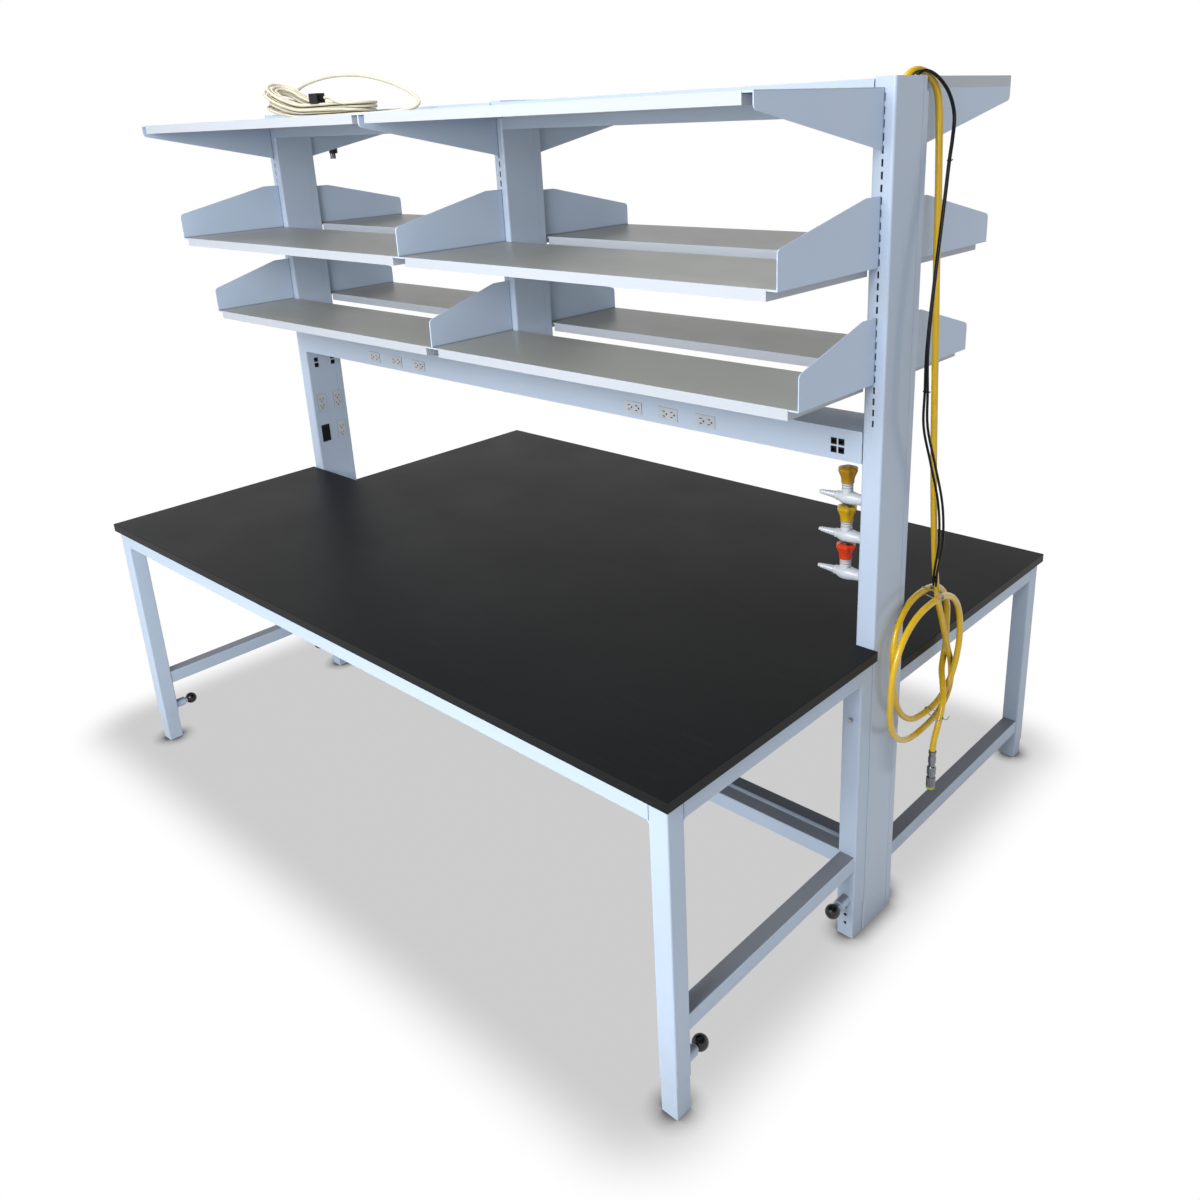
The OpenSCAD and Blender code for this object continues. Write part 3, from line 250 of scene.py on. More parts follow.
# %% [markdown]
# Seen from above, one turn is a half circle, a straight run, a half circle and the run back.
# A tilted oval would be simpler, but the strands of a hank lie straight between its bends. The
# layers differ a little in length, and the left end stands up, because a hank put down by hand
# isn't pressed flat. One formula serves all twelve turns.

# %% Loops of the hank
HANK_AT, HANK_HALF, HANK_R = (-693, -170), 190, 28
HANK_RINGS, HANK_LAY = 24, CORD_D * 1.1
SPREAD, SWAY, DRAWN_IN = 5, 9, 8
HANK_RISE, RISE_FIRST, RISE_LOSS = 40, 1.4, 0.2
BEND, RUN = 1 / 3, 1 / 6


def hank_outline(share, half, r):
    if share < BEND:
        a = math.radians(180 * share / BEND - 90)
        return half + r * math.cos(a), r * math.sin(a)
    if share < BEND + RUN:
        return half - 2 * half * (share - BEND) / RUN, r
    if share < 2 * BEND + RUN:
        a = math.radians(180 * (share - BEND - RUN) / BEND + 90)
        return r * math.cos(a) - half, r * math.sin(a)
    return 2 * half * (share - 2 * BEND - RUN) / RUN - half, -r


def hank_point(u):
    down = hank_down(u)
    half = HANK_HALF + SPREAD * turned_in(u) + SWAY * math.sin(2 * down) - DRAWN_IN
    x, y = hank_outline(u - math.floor(u), half, HANK_R + HANK_LAY * turned_in(u))
    left_end = max(0, -x) / (HANK_HALF + HANK_R)
    rise = HANK_RISE * (RISE_FIRST - RISE_LOSS * down) * left_end ** 2
    return (HANK_AT[0] + x, HANK_AT[1] + y, hank_height(u) + rise)


HANK = [hank_point((k + 0.5) / HANK_RINGS) for k in range(HANK_RINGS * HANK_TURNS * HANK_LAYERS - 1)]
print("hank points", len(HANK))

# %% [markdown]
# The cord's first end is a moulded socket that lies on the hank. From the last loop the cord
# runs along the shelf, turns back in a high arch and drops behind the shelf to its plug. The
# socket and the plug are rigid CAD pieces and stay as they are, so the cord only has to meet
# them: it leaves the one straight and drops straight into the other.

# %% The extension cord from socket to plug
SOCKET_H, SOCKET_GAP = 27, 0.3
SOCKET_ALONG, SOCKET_ACROSS = 95, -42
SOCKET_UP = hank_height(0) + CORD_D / 2 + SOCKET_H / 2 + SOCKET_GAP
SOCKET = Vector((HANK_AT[0] + SOCKET_ALONG, HANK_AT[1] + SOCKET_ACROSS, SOCKET_UP))
SOCKET_END = [(0, 0, 0), (10, 0, 0), (38, -8, -2), (62, -13, -8), (84, -16, -13)]
CORD = [tuple(SOCKET + Vector(p)) for p in SOCKET_END] + HANK
CORD += [(LEAD[0][0] - CORD_D, LEAD[0][1], LEAD[0][2])] + LEAD
CORD_PATH = from_origin(TOP_SHELF, smooth(CORD, CORD_STEPS))
print("extension cord", round(run_length(CORD_PATH), 3), "m")

# %% [markdown]
# Hose, cables and cord are all round and of one thickness. A curve's own bevel could give them
# that, but one node tree does it for all and shows how a modifier builds a shape: Curve to Mesh
# sweeps a ring along the path and keeps it square to it, and the fill caps close the ends. The
# tree has named inputs for the radius, the number of sides and the finish.


# %% Tree that sweeps a tube along a path
def input_id(tree, name):
    return next(i.identifier for i in tree.interface.items_tree
                if i.name == name and i.item_type == "SOCKET" and i.in_out == "INPUT")


def tube_tree():
    tree = bpy.data.node_groups.new("tube_along_path", "GeometryNodeTree")
    face = tree.interface
    face.new_socket("Path", in_out="INPUT", socket_type="NodeSocketGeometry")
    face.new_socket("Radius", in_out="INPUT", socket_type="NodeSocketFloat")
    face.new_socket("Sides", in_out="INPUT", socket_type="NodeSocketInt")
    face.new_socket("Finish", in_out="INPUT", socket_type="NodeSocketMaterial")
    face.new_socket("Tube", in_out="OUTPUT", socket_type="NodeSocketGeometry")
    add, link = tree.nodes.new, tree.links.new
    inp, out = add("NodeGroupInput"), add("NodeGroupOutput")
    ring, sweep = add("GeometryNodeCurvePrimitiveCircle"), add("GeometryNodeCurveToMesh")
    shade, real, coat = (add("GeometryNodeSetShadeSmooth"), add("GeometryNodeRealizeInstances"),
                         add("GeometryNodeSetMaterial"))
    link(inp.outputs["Sides"], ring.inputs["Resolution"])
    link(inp.outputs["Radius"], ring.inputs["Radius"])
    link(inp.outputs["Path"], sweep.inputs["Curve"])
    link(ring.outputs["Curve"], sweep.inputs["Profile Curve"])
    sweep.inputs["Fill Caps"].default_value = True
    link(sweep.outputs["Mesh"], shade.inputs["Geometry"])
    link(shade.outputs["Geometry"], real.inputs["Geometry"])
    link(real.outputs["Geometry"], coat.inputs["Geometry"])
    link(inp.outputs["Finish"], coat.inputs["Material"])
    link(coat.outputs["Geometry"], out.inputs["Tube"])
    return tree


TUBE_TREE = tube_tree()
print("tube tree", len(TUBE_TREE.nodes), "nodes")

# %% [markdown]
# The tree works on a curve object, so a path becomes a poly curve with the modifier on it. An
# input is set by its socket's identifier, as names may repeat. The result is then made a plain
# mesh and its source is removed, because only plain meshes can be handed over.


# %% A tube along a path
def path_curve(name, path):
    data = bpy.data.curves.new(name, "CURVE")
    data.dimensions = "3D"
    spline = data.splines.new("POLY")
    spline.points.add(len(path) - 1)
    for point, at in zip(spline.points, path):
        point.co = (*at, 1)
    obj = bpy.data.objects.new(name, data)
    bpy.context.collection.objects.link(obj)
    return obj


def as_plain_mesh(obj, name):
    graph = bpy.context.evaluated_depsgraph_get()
    mesh = bpy.data.meshes.new_from_object(obj.evaluated_get(graph))
    plain = bpy.data.objects.new(name, mesh)
    bpy.context.collection.objects.link(plain)
    bpy.data.objects.remove(obj)
    return plain


def swept_tube(name, path, diameter_mm, sides, finish):
    source = path_curve(name + "_path", path)
    modifier = source.modifiers.new("tube", "NODES")
    modifier.node_group = TUBE_TREE
    modifier[input_id(TUBE_TREE, "Radius")] = diameter_mm * MM / 2
    modifier[input_id(TUBE_TREE, "Sides")] = sides
    modifier[input_id(TUBE_TREE, "Finish")] = finish
    tube = as_plain_mesh(source, name)
    print(name, len(tube.data.polygons), "faces")
    return tube


print("tubes are swept by", TUBE_TREE.name)

# %% [markdown]
# Round pieces are turned, as on a lathe: a profile of radii and heights in millimetres is spun
# about Z. The Screw modifier could do it, but not the flutes. Here a third number in a row cuts
# flutes, as deep as that share of the radius, so one function makes smooth boots, lobed knobs
# and knurled sleeves. Rows of no radius are merged poles.


# %% Turned pieces
SIDES_FINE, SIDES_ROUND, SIDES_SMALL = 96, 48, 24
CORNER_DEGREES = 35


def turned(name, profile, sides, finish, flutes=0):
    bm = bmesh.new()
    rows = []
    for radius, height, cut in [(*row, 0)[:3] for row in profile]:
        if radius == 0:
            rows.append([bm.verts.new((0, 0, height * MM))] * sides)
            continue
        ring = []
        for k in range(sides):
            angle = 2 * math.pi * k / sides
            reach = radius * MM * (1 - cut * (0.5 - 0.5 * math.cos(flutes * angle)))
            ring.append(bm.verts.new((reach * math.cos(angle), reach * math.sin(angle), height * MM)))
        rows.append(ring)
    for low, high in zip(rows, rows[1:]):
        for k in range(sides):
            corners = [low[k], low[(k + 1) % sides], high[(k + 1) % sides], high[k]]
            bm.faces.new(list(dict.fromkeys(corners)))
    bmesh.ops.recalc_face_normals(bm, faces=bm.faces)
    mesh = bpy.data.meshes.new(name)
    bm.to_mesh(mesh)
    bm.free()
    mesh.materials.append(finish)
    smooth_but_corners(mesh)
    piece = bpy.data.objects.new(name, mesh)
    bpy.context.collection.objects.link(piece)
    return piece


def smooth_but_corners(mesh):
    mesh.shade_smooth()
    mesh.set_sharp_from_angle(angle=math.radians(CORNER_DEGREES))


print("turned pieces have", SIDES_SMALL, "to", SIDES_FINE, "sides")

# %% [markdown]
# Some things are made of several turned or swept parts but are one piece, such as a casting
# with its neck or a cable's end with its straps. Joining in the editor would need a selection,
# and copying the meshes into one new mesh needs none.


# %% Parts joined into one piece
def joined(name, pieces):
    bm = bmesh.new()
    for piece in pieces:
        bm.from_mesh(piece.data)
    mesh = bpy.data.meshes.new(name)
    bm.to_mesh(mesh)
    bm.free()
    mesh.materials.append(pieces[0].data.materials[0])
    whole = bpy.data.objects.new(name, mesh)
    bpy.context.collection.objects.link(whole)
    for piece in pieces:
        bpy.data.objects.remove(piece)
    print(name, "joins", len(pieces), "parts")
    return whole


print("parts can be joined")

# %% [markdown]
# Colours are named as they read on a screen, and the renderer wants them linear, so one helper
# converts them. Every finish then starts from a principled shader, and small helpers add nodes
# and links by name. Nodes can also be placed by hand in the editor, but a script can be read.


# %% Colours and shader nodes
BLACK, WHITE = (0, 0, 0, 1), (1, 1, 1, 1)


def srgb(r, g, b):
    def lin(c):
        c = c / 255
        return c / 12.92 if c <= 0.04045 else ((c + 0.055) / 1.055) ** 2.4
    return (lin(r), lin(g), lin(b), 1)


def shader(name, roughness, metallic=0, coat=0, specular=0.5):
    material = bpy.data.materials.new(name)
    material.use_nodes = True
    base = material.node_tree.nodes["Principled BSDF"]
    base.inputs["Roughness"].default_value = roughness
    base.inputs["Metallic"].default_value = metallic
    base.inputs["Coat Weight"].default_value = coat
    base.inputs["Specular IOR Level"].default_value = specular
    return material, base


def node(material, kind, **values):
    made = material.node_tree.nodes.new(kind)
    for key, value in values.items():
        if key in made.inputs:
            made.inputs[key].default_value = value
        else:
            setattr(made, key, value)
    return made


def join(material, source, target):
    material.node_tree.links.new(source, target)


def tint(colour, factor):
    return tuple(min(1, c * factor) for c in colour[:3]) + (1,)


print("mid grey is linear", round(srgb(128, 128, 128)[0], 3))

# %% [markdown]
# Real finishes are never even. A photograph of the coat could be laid over the pieces, but a
# noise in object coordinates has no seams and stays still on the piece from every view. These
# helpers turn a noise or a height into a value, and a value into a colour.


# %% Noises, ramps and levels
def object_place(material):
    return node(material, "ShaderNodeTexCoord").outputs["Object"]


def part_of(material, vector, axis):
    split = node(material, "ShaderNodeSeparateXYZ")
    join(material, vector, split.inputs["Vector"])
    return split.outputs[axis]


def noise(material, scale, detail=3, stretch=(1, 1, 1)):
    mapping = node(material, "ShaderNodeMapping", Scale=stretch)
    made = node(material, "ShaderNodeTexNoise", Scale=scale, Detail=detail)
    join(material, object_place(material), mapping.inputs["Vector"])
    join(material, mapping.outputs["Vector"], made.inputs["Vector"])
    return made.outputs["Fac"]


def ramp(material, source, stops):
    made = node(material, "ShaderNodeValToRGB")
    elements = made.color_ramp.elements
    while len(elements) < len(stops):
        elements.new(0.5)
    for element, (at, colour) in zip(elements, stops):
        element.position = at
        element.color = colour
    join(material, source, made.inputs["Fac"])
    return made.outputs["Color"]


def level(material, source, low=0, high=1, start=0, full=1, kind="LINEAR"):
    made = node(material, "ShaderNodeMapRange", interpolation_type=kind)
    for socket, value in (("From Min", start), ("From Max", full), ("To Min", low), ("To Max", high)):
        made.inputs[socket].default_value = value
    join(material, source, made.inputs["Value"])
    return made.outputs["Result"]


print("pattern helpers ready")

# %% [markdown]
# A finish changes from place to place: corners, joints and faces turned up or down get a
# painted shade, and a rough coat scatters light. Each of these is a mask that blends two colours,
# or a height that bumps the surface, so one helper for each is enough for every material here.


# %% Blends, bumps and masks
def blend_by(material, mask, first, second):
    made = node(material, "ShaderNodeMix", data_type="RGBA")
    join(material, mask, made.inputs["Factor"])
    for socket, value in (("A", first), ("B", second)):
        target = next(i for i in made.inputs if i.name == socket and i.type == "RGBA")
        if isinstance(value, tuple):
            target.default_value = value
        else:
            join(material, value, target)
    return next(o for o in made.outputs if o.type == "RGBA")


def bump(material, base, source, strength, distance):
    made = node(material, "ShaderNodeBump", Strength=strength, Distance=distance)
    join(material, source, made.inputs["Height"])
    join(material, made.outputs["Normal"], base.inputs["Normal"])


# Painted shade: the colour darkens where ambient occlusion finds close surfaces, in corners and
# creases.
def painted_corner_shade(material, colour, deep, reach_mm):
    near = node(material, "ShaderNodeAmbientOcclusion", samples=8, Distance=reach_mm * MM)
    mask = ramp(material, near.outputs["AO"], [(0.4, BLACK), (0.92, WHITE)])
    return blend_by(material, mask, deep, colour)


def facing(material, start, full):
    shape = node(material, "ShaderNodeNewGeometry")
    return level(material, part_of(material, shape.outputs["Normal"], "Z"), start=start, full=full)


print("mask helpers ready")

# %% [markdown]
# The frame and spine are powder coated in a pale blue grey. Powder coat has a fine orange
# peel, a soft sheen and slight tone changes over a metre or so, and near the floor it gathers
# a little grime. One flat colour would look like plastic, so a slow noise varies its tone, a fine
# one bumps it, top and under faces may get a painted shade of their own, and corners a painted
# shade from occlusion.


# %% Powder coat on the steelwork
GRIME_TOP, GRIME = 0.3, srgb(120, 118, 112)
SPECKS = [(0.72, BLACK), (0.8, WHITE)]


def low_grime(material, strength):
    low = level(material, part_of(material, object_place(material), "Z"), high=strength,
                start=GRIME_TOP, full=0.0)
    patch = node(material, "ShaderNodeMath", operation="MULTIPLY")
    join(material, low, patch.inputs[0])
    join(material, noise(material, 14, 5), patch.inputs[1])
    return patch.outputs["Value"]


def powder_coat(name, colour, roughness, grime=0.0, top=None, below=None, corners=6):
    material, base = shader(name, roughness, specular=0.35)
    cloud = ramp(material, noise(material, 1.6, 3),
                 [(0.3, tint(colour, 0.975)), (0.7, tint(colour, 1.015))])
    # Painted light and shade: faces turned up or down get their own colour for how light falls on them.
    if top:
        cloud = blend_by(material, facing(material, 0.6, 0.9), cloud, top)
    if below:
        cloud = blend_by(material, facing(material, -0.6, -0.9), cloud, below)
    specks = ramp(material, noise(material, 210, 2), SPECKS)
    marked = blend_by(material, level(material, specks, 0, 0.05), cloud, tint(colour, 0.6))
    if grime:
        marked = blend_by(material, low_grime(material, grime), marked, GRIME)
    # Painted shade in corners and joints.
    if corners:
        marked = painted_corner_shade(material, marked, tint(colour, 0.2), corners)
    join(material, marked, base.inputs["Base Color"])
    join(material, level(material, noise(material, 12, 3), roughness - 0.03, roughness + 0.05),
         base.inputs["Roughness"])
    bump(material, base, noise(material, 480, 2), 0.08, 0.0004)
    return material


print("powder coat's recipe ready")

# %% [markdown]
# All the steelwork has one colour in reality. Frame, columns, plates and shelves each get their
# own shade and gloss of it: the shades are painted light and shade for how the light falls on each
# group. The frame's upward faces get a dark painted shade, and the shelf sheets a darker, warmer
# painted shade on top and below.

# %% Colours of the steelwork
FRAME_BLUE, FRAME_TOP_SHADE = srgb(184, 200, 220), srgb(126, 131, 141)
COLUMN_BLUE, PLATE_BLUE = srgb(181, 196, 216), srgb(190, 207, 230)
SHELF_BLUE, SHELF_TOP_SHADE, SHELF_UNDER_SHADE = srgb(182, 188, 197), srgb(160, 161, 156), srgb(168, 169, 166)
frame_coat = powder_coat("frame_powder_coat", FRAME_BLUE, 0.4, grime=0.3, top=FRAME_TOP_SHADE, corners=0)
column_coat = powder_coat("column_powder_coat", COLUMN_BLUE, 0.2, grime=0.2, corners=0)
plate_coat = powder_coat("plate_powder_coat", PLATE_BLUE, 0.34)
shelf_coat = powder_coat("shelf_powder_coat", SHELF_BLUE, 0.37, top=SHELF_TOP_SHADE, below=SHELF_UNDER_SHADE)
print("powder coats ready")

# %% [markdown]
# The worktops are solid black phenolic resin: almost black, satin, with cloudy wipe marks
# and fine scratches that show only in the gloss. Painted scratches would need a picture, so
# they are a noise stretched along the bench, and read as strokes and not as specks.

# %% Black resin worktop
STROKE_STRETCH = (0.25, 7, 1)


def resin_top():
    material, base = shader("black_resin", 0.34, specular=0.13)
    black = ramp(material, noise(material, 2, 4), [(0.35, srgb(11, 12, 13)), (0.75, srgb(15, 16, 17))])
    dust = ramp(material, noise(material, 420, 2), SPECKS)
    speckled = blend_by(material, level(material, dust, 0, 0.05), black, srgb(120, 122, 124))
    strokes = ramp(material, noise(material, 26, 2, STROKE_STRETCH), [(0.66, BLACK), (0.69, WHITE)])
    scratched = blend_by(material, level(material, strokes, 0, 0.02), speckled, srgb(130, 132, 134))
    join(material, scratched, base.inputs["Base Color"])
    join(material, level(material, noise(material, 4, 4), 0.4, 0.5), base.inputs["Roughness"])
    bump(material, base, noise(material, 260, 3), 0.06, 0.0003)
    return material


worktop_resin = resin_top()
print(worktop_resin.name, "ready")

# %% [markdown]
# Moulded pieces, rubber and plated metal could each have their own nodes, but they share one
# recipe: a base colour with a faint cloud, a roughness that wanders a little and a fine bump.
# Only the numbers differ. An outlet gets a painted shade just behind its front face, so its
# slots and the edge round it read as thin black lines.

# %% Recipe for moulded, rubber and metal finishes
FACE_SKIN, FACE_FADE = 0.1, 0.3
RECESS_SHADE = srgb(16, 17, 18)


def recess_shade_mask(material, axis, face_mm, way):
    near, far = (face_mm + way * FACE_SKIN) * MM, (face_mm + way * (FACE_SKIN + FACE_FADE)) * MM
    return level(material, part_of(material, object_place(material), axis), start=near, full=far)


def moulded(name, colour, roughness, metallic=0, coat=0, grain=300, depth=0.0002, cloud=0.06,
            corners=0, specular=0.5, face=None):
    material, base = shader(name, roughness, metallic, coat, specular)
    body = ramp(material, noise(material, 18, 4),
                [(0.3, tint(colour, 1 - cloud)), (0.7, tint(colour, 1 + cloud))])
    # Painted shade in corners and creases, where asked.
    if corners:
        body = painted_corner_shade(material, body, tint(colour, 0.06), corners)
    # Painted shade: behind the front face the colour turns near black, as shade in slots and gaps.
    if face:
        body = blend_by(material, recess_shade_mask(material, *face), body, RECESS_SHADE)
    join(material, body, base.inputs["Base Color"])
    join(material, level(material, noise(material, 60, 3), roughness * 0.85, min(1, roughness * 1.2)),
         base.inputs["Roughness"])
    bump(material, base, noise(material, grain, 2), 0.15, depth)
    return material


print("recipe ready")

# %% [markdown]
# Now the recipe's numbers. Valves and knobs are glossy enamel and plastic with painted shade in
# their joints, the hose is smooth, the cables and mouldings are black but not shiny, and the
# fittings are plated; hose, cord and fittings get painted shade in their creases too. The two
# outlet finishes know on which plane their faces lie, from the frame, and are painted dark behind it.

# %% Moulded, rubber and metal finishes
FRONT_FACE = ("Y", node_box("raceway_outlets")[0][1], 1)
SIDE_FACE = ("X", node_box("column_outlets")[1][0], -1)
ball_black = moulded("ball_knob_black", srgb(15, 15, 16), 0.26)
black_mould = moulded("black_moulding", srgb(11, 11, 12), 0.45, specular=0.25)
outlet_front = moulded("outlet_front", srgb(184, 190, 198), 0.4, face=FRONT_FACE)
outlet_side = moulded("outlet_side", srgb(188, 194, 202), 0.4, face=SIDE_FACE)
grommet_rubber = moulded("grommet_rubber", srgb(24, 24, 24), 0.7)
# corners sets the reach in mm of the painted shade in joints and creases.
valve_white = moulded("valve_white_epoxy", srgb(194, 199, 206), 0.26, coat=0.2, corners=18)
knob_orange = moulded("knob_orange", srgb(202, 56, 14), 0.36, coat=0.1, corners=9)
knob_yellow = moulded("knob_yellow", srgb(184, 148, 10), 0.36, coat=0.1, corners=9)
knob_mustard = moulded("knob_mustard", srgb(160, 118, 12), 0.36, coat=0.1, corners=9)
hose_yellow = moulded("hose_yellow", srgb(210, 170, 2), 0.24, coat=0.25, depth=0.00004, corners=12)
cable_black = moulded("cable_black", srgb(7, 7, 8), 0.34, specular=0.18)
cord_cream = moulded("cord_cream", srgb(206, 200, 180), 0.45, corners=6)
plated = moulded("plated_metal", srgb(122, 124, 130), 0.2, metallic=1, grain=500, corners=14)
seal_green = moulded("seal_green", srgb(160, 168, 24), 0.4)
zinc = moulded("zinc_bolt", srgb(168, 170, 172), 0.35, metallic=1)
tie_grey = moulded("tie_grey", srgb(150, 150, 148), 0.45)
print("outlet faces", FRONT_FACE, SIDE_FACE)

# %% [markdown]
# The steelwork, worktops, outlets and bolts keep the meshes that CAD made. Their materials
# could be set one by one in the editor. Each node's record names a slot, so one table from slot
# to finish coats them all, and only the outlets of the left column need a finish of their own.

# %% Finishes of the nodes that stay as CAD made them
FINISHES = {
    "worktop": worktop_resin, "frame": frame_coat, "ball_knob": ball_black, "bolt": zinc,
    "column": column_coat, "shelf_sheet": shelf_coat, "plate": plate_coat,
    "outlet": outlet_front, "black_plastic": black_mould, "grommet": grommet_rubber,
    "valve_white": valve_white, "knob_orange": knob_orange, "knob_yellow": knob_yellow,
    "knob_mustard": knob_mustard, "hose": hose_yellow, "coupling": plated,
    "wire_tie": tie_grey, "black_cable": cable_black, "cream_cord": cord_cream}


def coat_nodes():
    for part in frame["record"]["subparts"]:
        mesh = frame["nodes"][part["node"]].data
        mesh.materials.clear()
        mesh.materials.append(FINISHES[part["material_slot"]])
    frame["nodes"]["column_outlets"].data.materials[0] = outlet_side


coat_nodes()
print(len(FINISHES), "slots have a finish")

# %% [markdown]
# Wire and straps hold the hose and the cables together. A plain ring would float round the
# bundle, so a tie is pulled tight: in every direction it lies against the outermost strand
# that is really there. One helper finds the strands of the hose in a plane across the bench,
# and another wraps a loop round any strands, lying flat or standing up.

# %% Loops round a bundle
TIE_RINGS = 40


def strands_at(y, low, high):
    met = []
    for a, b in zip(HOSE_PATH, HOSE_PATH[1:]):
        if (a.y - y) * (b.y - y) < 0 and low < a.z < high:
            met.append(a.lerp(b, (y - a.y) / (b.y - a.y)))
    return met


def wrapped(middles, reach, flat):
    loop = []
    for k in range(TIE_RINGS + 1):
        angle = 2 * math.pi * k / TIE_RINGS
        side, up = math.cos(angle), math.sin(angle)
        out = Vector((side, up, 0)) if flat else Vector((side, 0, up))
        loop.append(max(middles, key=lambda p: p.dot(out)) + out * reach)
    return loop


print("a tie has", TIE_RINGS, "points")

# %% [markdown]
# Two turns of grey wire tie the hose's loops, one at the top and one at the bottom. They could
# be straps, but the photograph shows thin wire with bent whiskers, as twisting leaves them. A
# tie is given by its place across the bench and by the heights between which it looks for
# strands, and its whiskers are short routes from the knot.

# %% Wire ties of the hose
TIE_WIRE, TIE_SIDES = 2.2, 8
UPPER_TIE, LOWER_TIE = (158, -1260, -1150), (170, -1550, -1500)
UPPER_WHISKERS = [
    [(3, -3, 4), (7, -16, 14), (8, -28, 32), (5, -31, 48)],
    [(3, -5, 2), (9, -24, 8), (10, -42, 20), (8, -56, 40)]]
LOWER_WHISKERS = [
    [(3, 2, -3), (7, 8, -4), (9, 16, 2)],
    [(3, -4, 2), (6, -20, 8), (5, -44, 16), (0, -64, 27)]]


def wire_tie(name, across, whiskers):
    y, low, high = across
    middles = strands_at(y * MM + COLUMN_TOP.y, low * MM + COLUMN_TOP.z, high * MM + COLUMN_TOP.z)
    loop = wrapped(middles, (HOSE_D + TIE_WIRE) / 2 * MM, False)
    first, last = ([loop[0] + Vector(p) * MM for p in side] for side in whiskers)
    path = smooth(first[::-1], WIRE_STEPS) + loop + smooth(last, WIRE_STEPS)
    print(name, "holds", len(middles), "strands")
    return swept_tube(name, path, TIE_WIRE, TIE_SIDES, tie_grey)


upper_tie = wire_tie("upper_tie", UPPER_TIE, UPPER_WHISKERS)
lower_tie = wire_tie("lower_tie", LOWER_TIE, LOWER_WHISKERS)
hose_ties = joined("hose_wire_ties", [upper_tie, lower_tie])
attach(hose_ties, "bench")
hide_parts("hose_ties")

# %% [markdown]
# The hose ends in a quick coupling of plated metal: a tail piece, a knurled sleeve and a green
# seal in its mouth. A knurl could be a bump, but the outline of the sleeve would stay smooth,
# so shallow flutes are cut into the turned profile. The coupling hangs below the hose's end.

# %% Hose coupling
COUPLING = [
    (0, 7), (11.2, 7), (12, 9, 0.14), (12, 33, 0.14), (11, 35), (9.4, 36), (9.4, 41), (11, 42),
    (11.6, 44, 0.08), (11.6, 64, 0.08), (10.4, 66), (8.4, 68), (8.4, 76), (10, 77.5), (10, 94),
    (8.6, 96), (8.6, 103), (9.9, 104), (9.9, 112), (0, 112)]
SEAL = [(0, 0), (8, 0), (10.6, 0.6), (11.8, 2.4), (11.8, 6), (10.8, 7.4), (0, 7.4)]
KNURLS = 16
COUPLING_AT = Vector(LOOPS_END[-1]) - Vector((0, 0, COUPLING[-1][1]))
coupling = turned("hose_coupling_metal", COUPLING, SIDES_FINE, plated, KNURLS)
seal = turned("hose_coupling_seal", SEAL, SIDES_ROUND, seal_green)
for piece, kind in ((coupling, "coupling"), (seal, "hose")):
    piece.data.transform(Matrix.Translation(COLUMN_TOP + COUPLING_AT * MM))
    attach(piece, "bench")
    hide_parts("hose_coupling")
print("coupling at", COUPLING_AT)

# %% [markdown]
# The yellow hose is swept along its route in one piece, from the grommet over the column's top
# and down through its loops, at its real thickness. It replaces two plain CAD solids.

# %% Hose
HOSE_SIDES = 20
hose = swept_tube("service_hose", HOSE_PATH, HOSE_D, HOSE_SIDES, hose_yellow)
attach(hose, "bench")
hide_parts("hose_drop", "hose_coil")

# %% [markdown]
# The two control cables end in short boots, and two straps hold them side by side. A boot is
# a turned sleeve in three steps. A strap is a flat loop in reality, and a thin round one looks
# the same at this size, so it is wrapped round the pair like the wire ties.

# %% Boots and ties of the control cables
BOOT = [(0, 0), (2.2, 0), (2.5, 1.5), (2.5, 8), (3.3, 9), (3.3, 22), (3.6, 23), (3.6, 26), (0, 26)]
STRAP_WIRE, STRAP_SLACK = 2.6, 1
STRAP_TAIL = Vector((4, -3, 2))


def cable_boot(name, end):
    boot = turned(name, BOOT, SIDES_SMALL, cable_black)
    boot.data.transform(Matrix.Translation(end - Vector((0, 0, BOOT[-1][1])) * MM))
    return boot


def cable_tie(name, index):
    first = Vector(CABLE[index])
    middles = from_origin(COLUMN_TOP, [first, first + Vector(CABLE_APART[index])])
    loop = wrapped(middles, (CABLE_D + STRAP_SLACK) / 2 * MM, True)
    return swept_tube(name, loop + [loop[0] + STRAP_TAIL * MM], STRAP_WIRE, TIE_SIDES, cable_black)


print("boot", BOOT[-1][1], "mm long, ties at points", CABLE_TIES)

# %% [markdown]
# The cables run together and cross where the photograph crosses them. Two routes drawn apart
# would drift, so the second is the first plus a small step at each point. Each cable replaces
# the plain CAD solid and carries its boot, and the first one carries both straps.

# %% Control cables
CORD_SIDES = 12
SECOND = [tuple(Vector(p) + Vector(step)) for p, step in zip(CABLE, CABLE_APART)]
for index, points in enumerate([CABLE, SECOND]):
    path = from_origin(COLUMN_TOP, smooth(points, CABLE_STEPS))
    ends = [cable_boot("boot", path[-1])]
    if index == 0:
        ends += [cable_tie("tie_%d" % i, i) for i in CABLE_TIES]
    end = joined("cable_boot_%d" % (index + 1), ends)
    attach(end, "bench")
    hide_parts("cable_ends")
    cable = swept_tube("control_cable_%d" % (index + 1), path, CABLE_D, CORD_SIDES, cable_black)
    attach(cable, "bench")
    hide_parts("black_cables")
    print(cable.name, round(run_length(path), 3), "m")

# %% [markdown]
# The cream extension cord is one sweep too, from the socket through the hank and the arch to
# the plug. The plug and the socket are the CAD's own pieces and go with it.

# %% Extension cord
cord = swept_tube("extension_cord", CORD_PATH, CORD_D, CORD_SIDES, cord_cream)
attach(cord, "bench")
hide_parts("cord_hank", "cord_lead")

# %% [markdown]
# Each service valve is a cast body that swells away from the column, a short neck with two ring
# lines and a serrated tapered nozzle. Its star knob has six lobes, is widest near the top and
# has a shallow crown with a boss. Sculpting could make them, but all are round about an axis,
# so they are turned. The valves' places are measured from the knobs that CAD made.

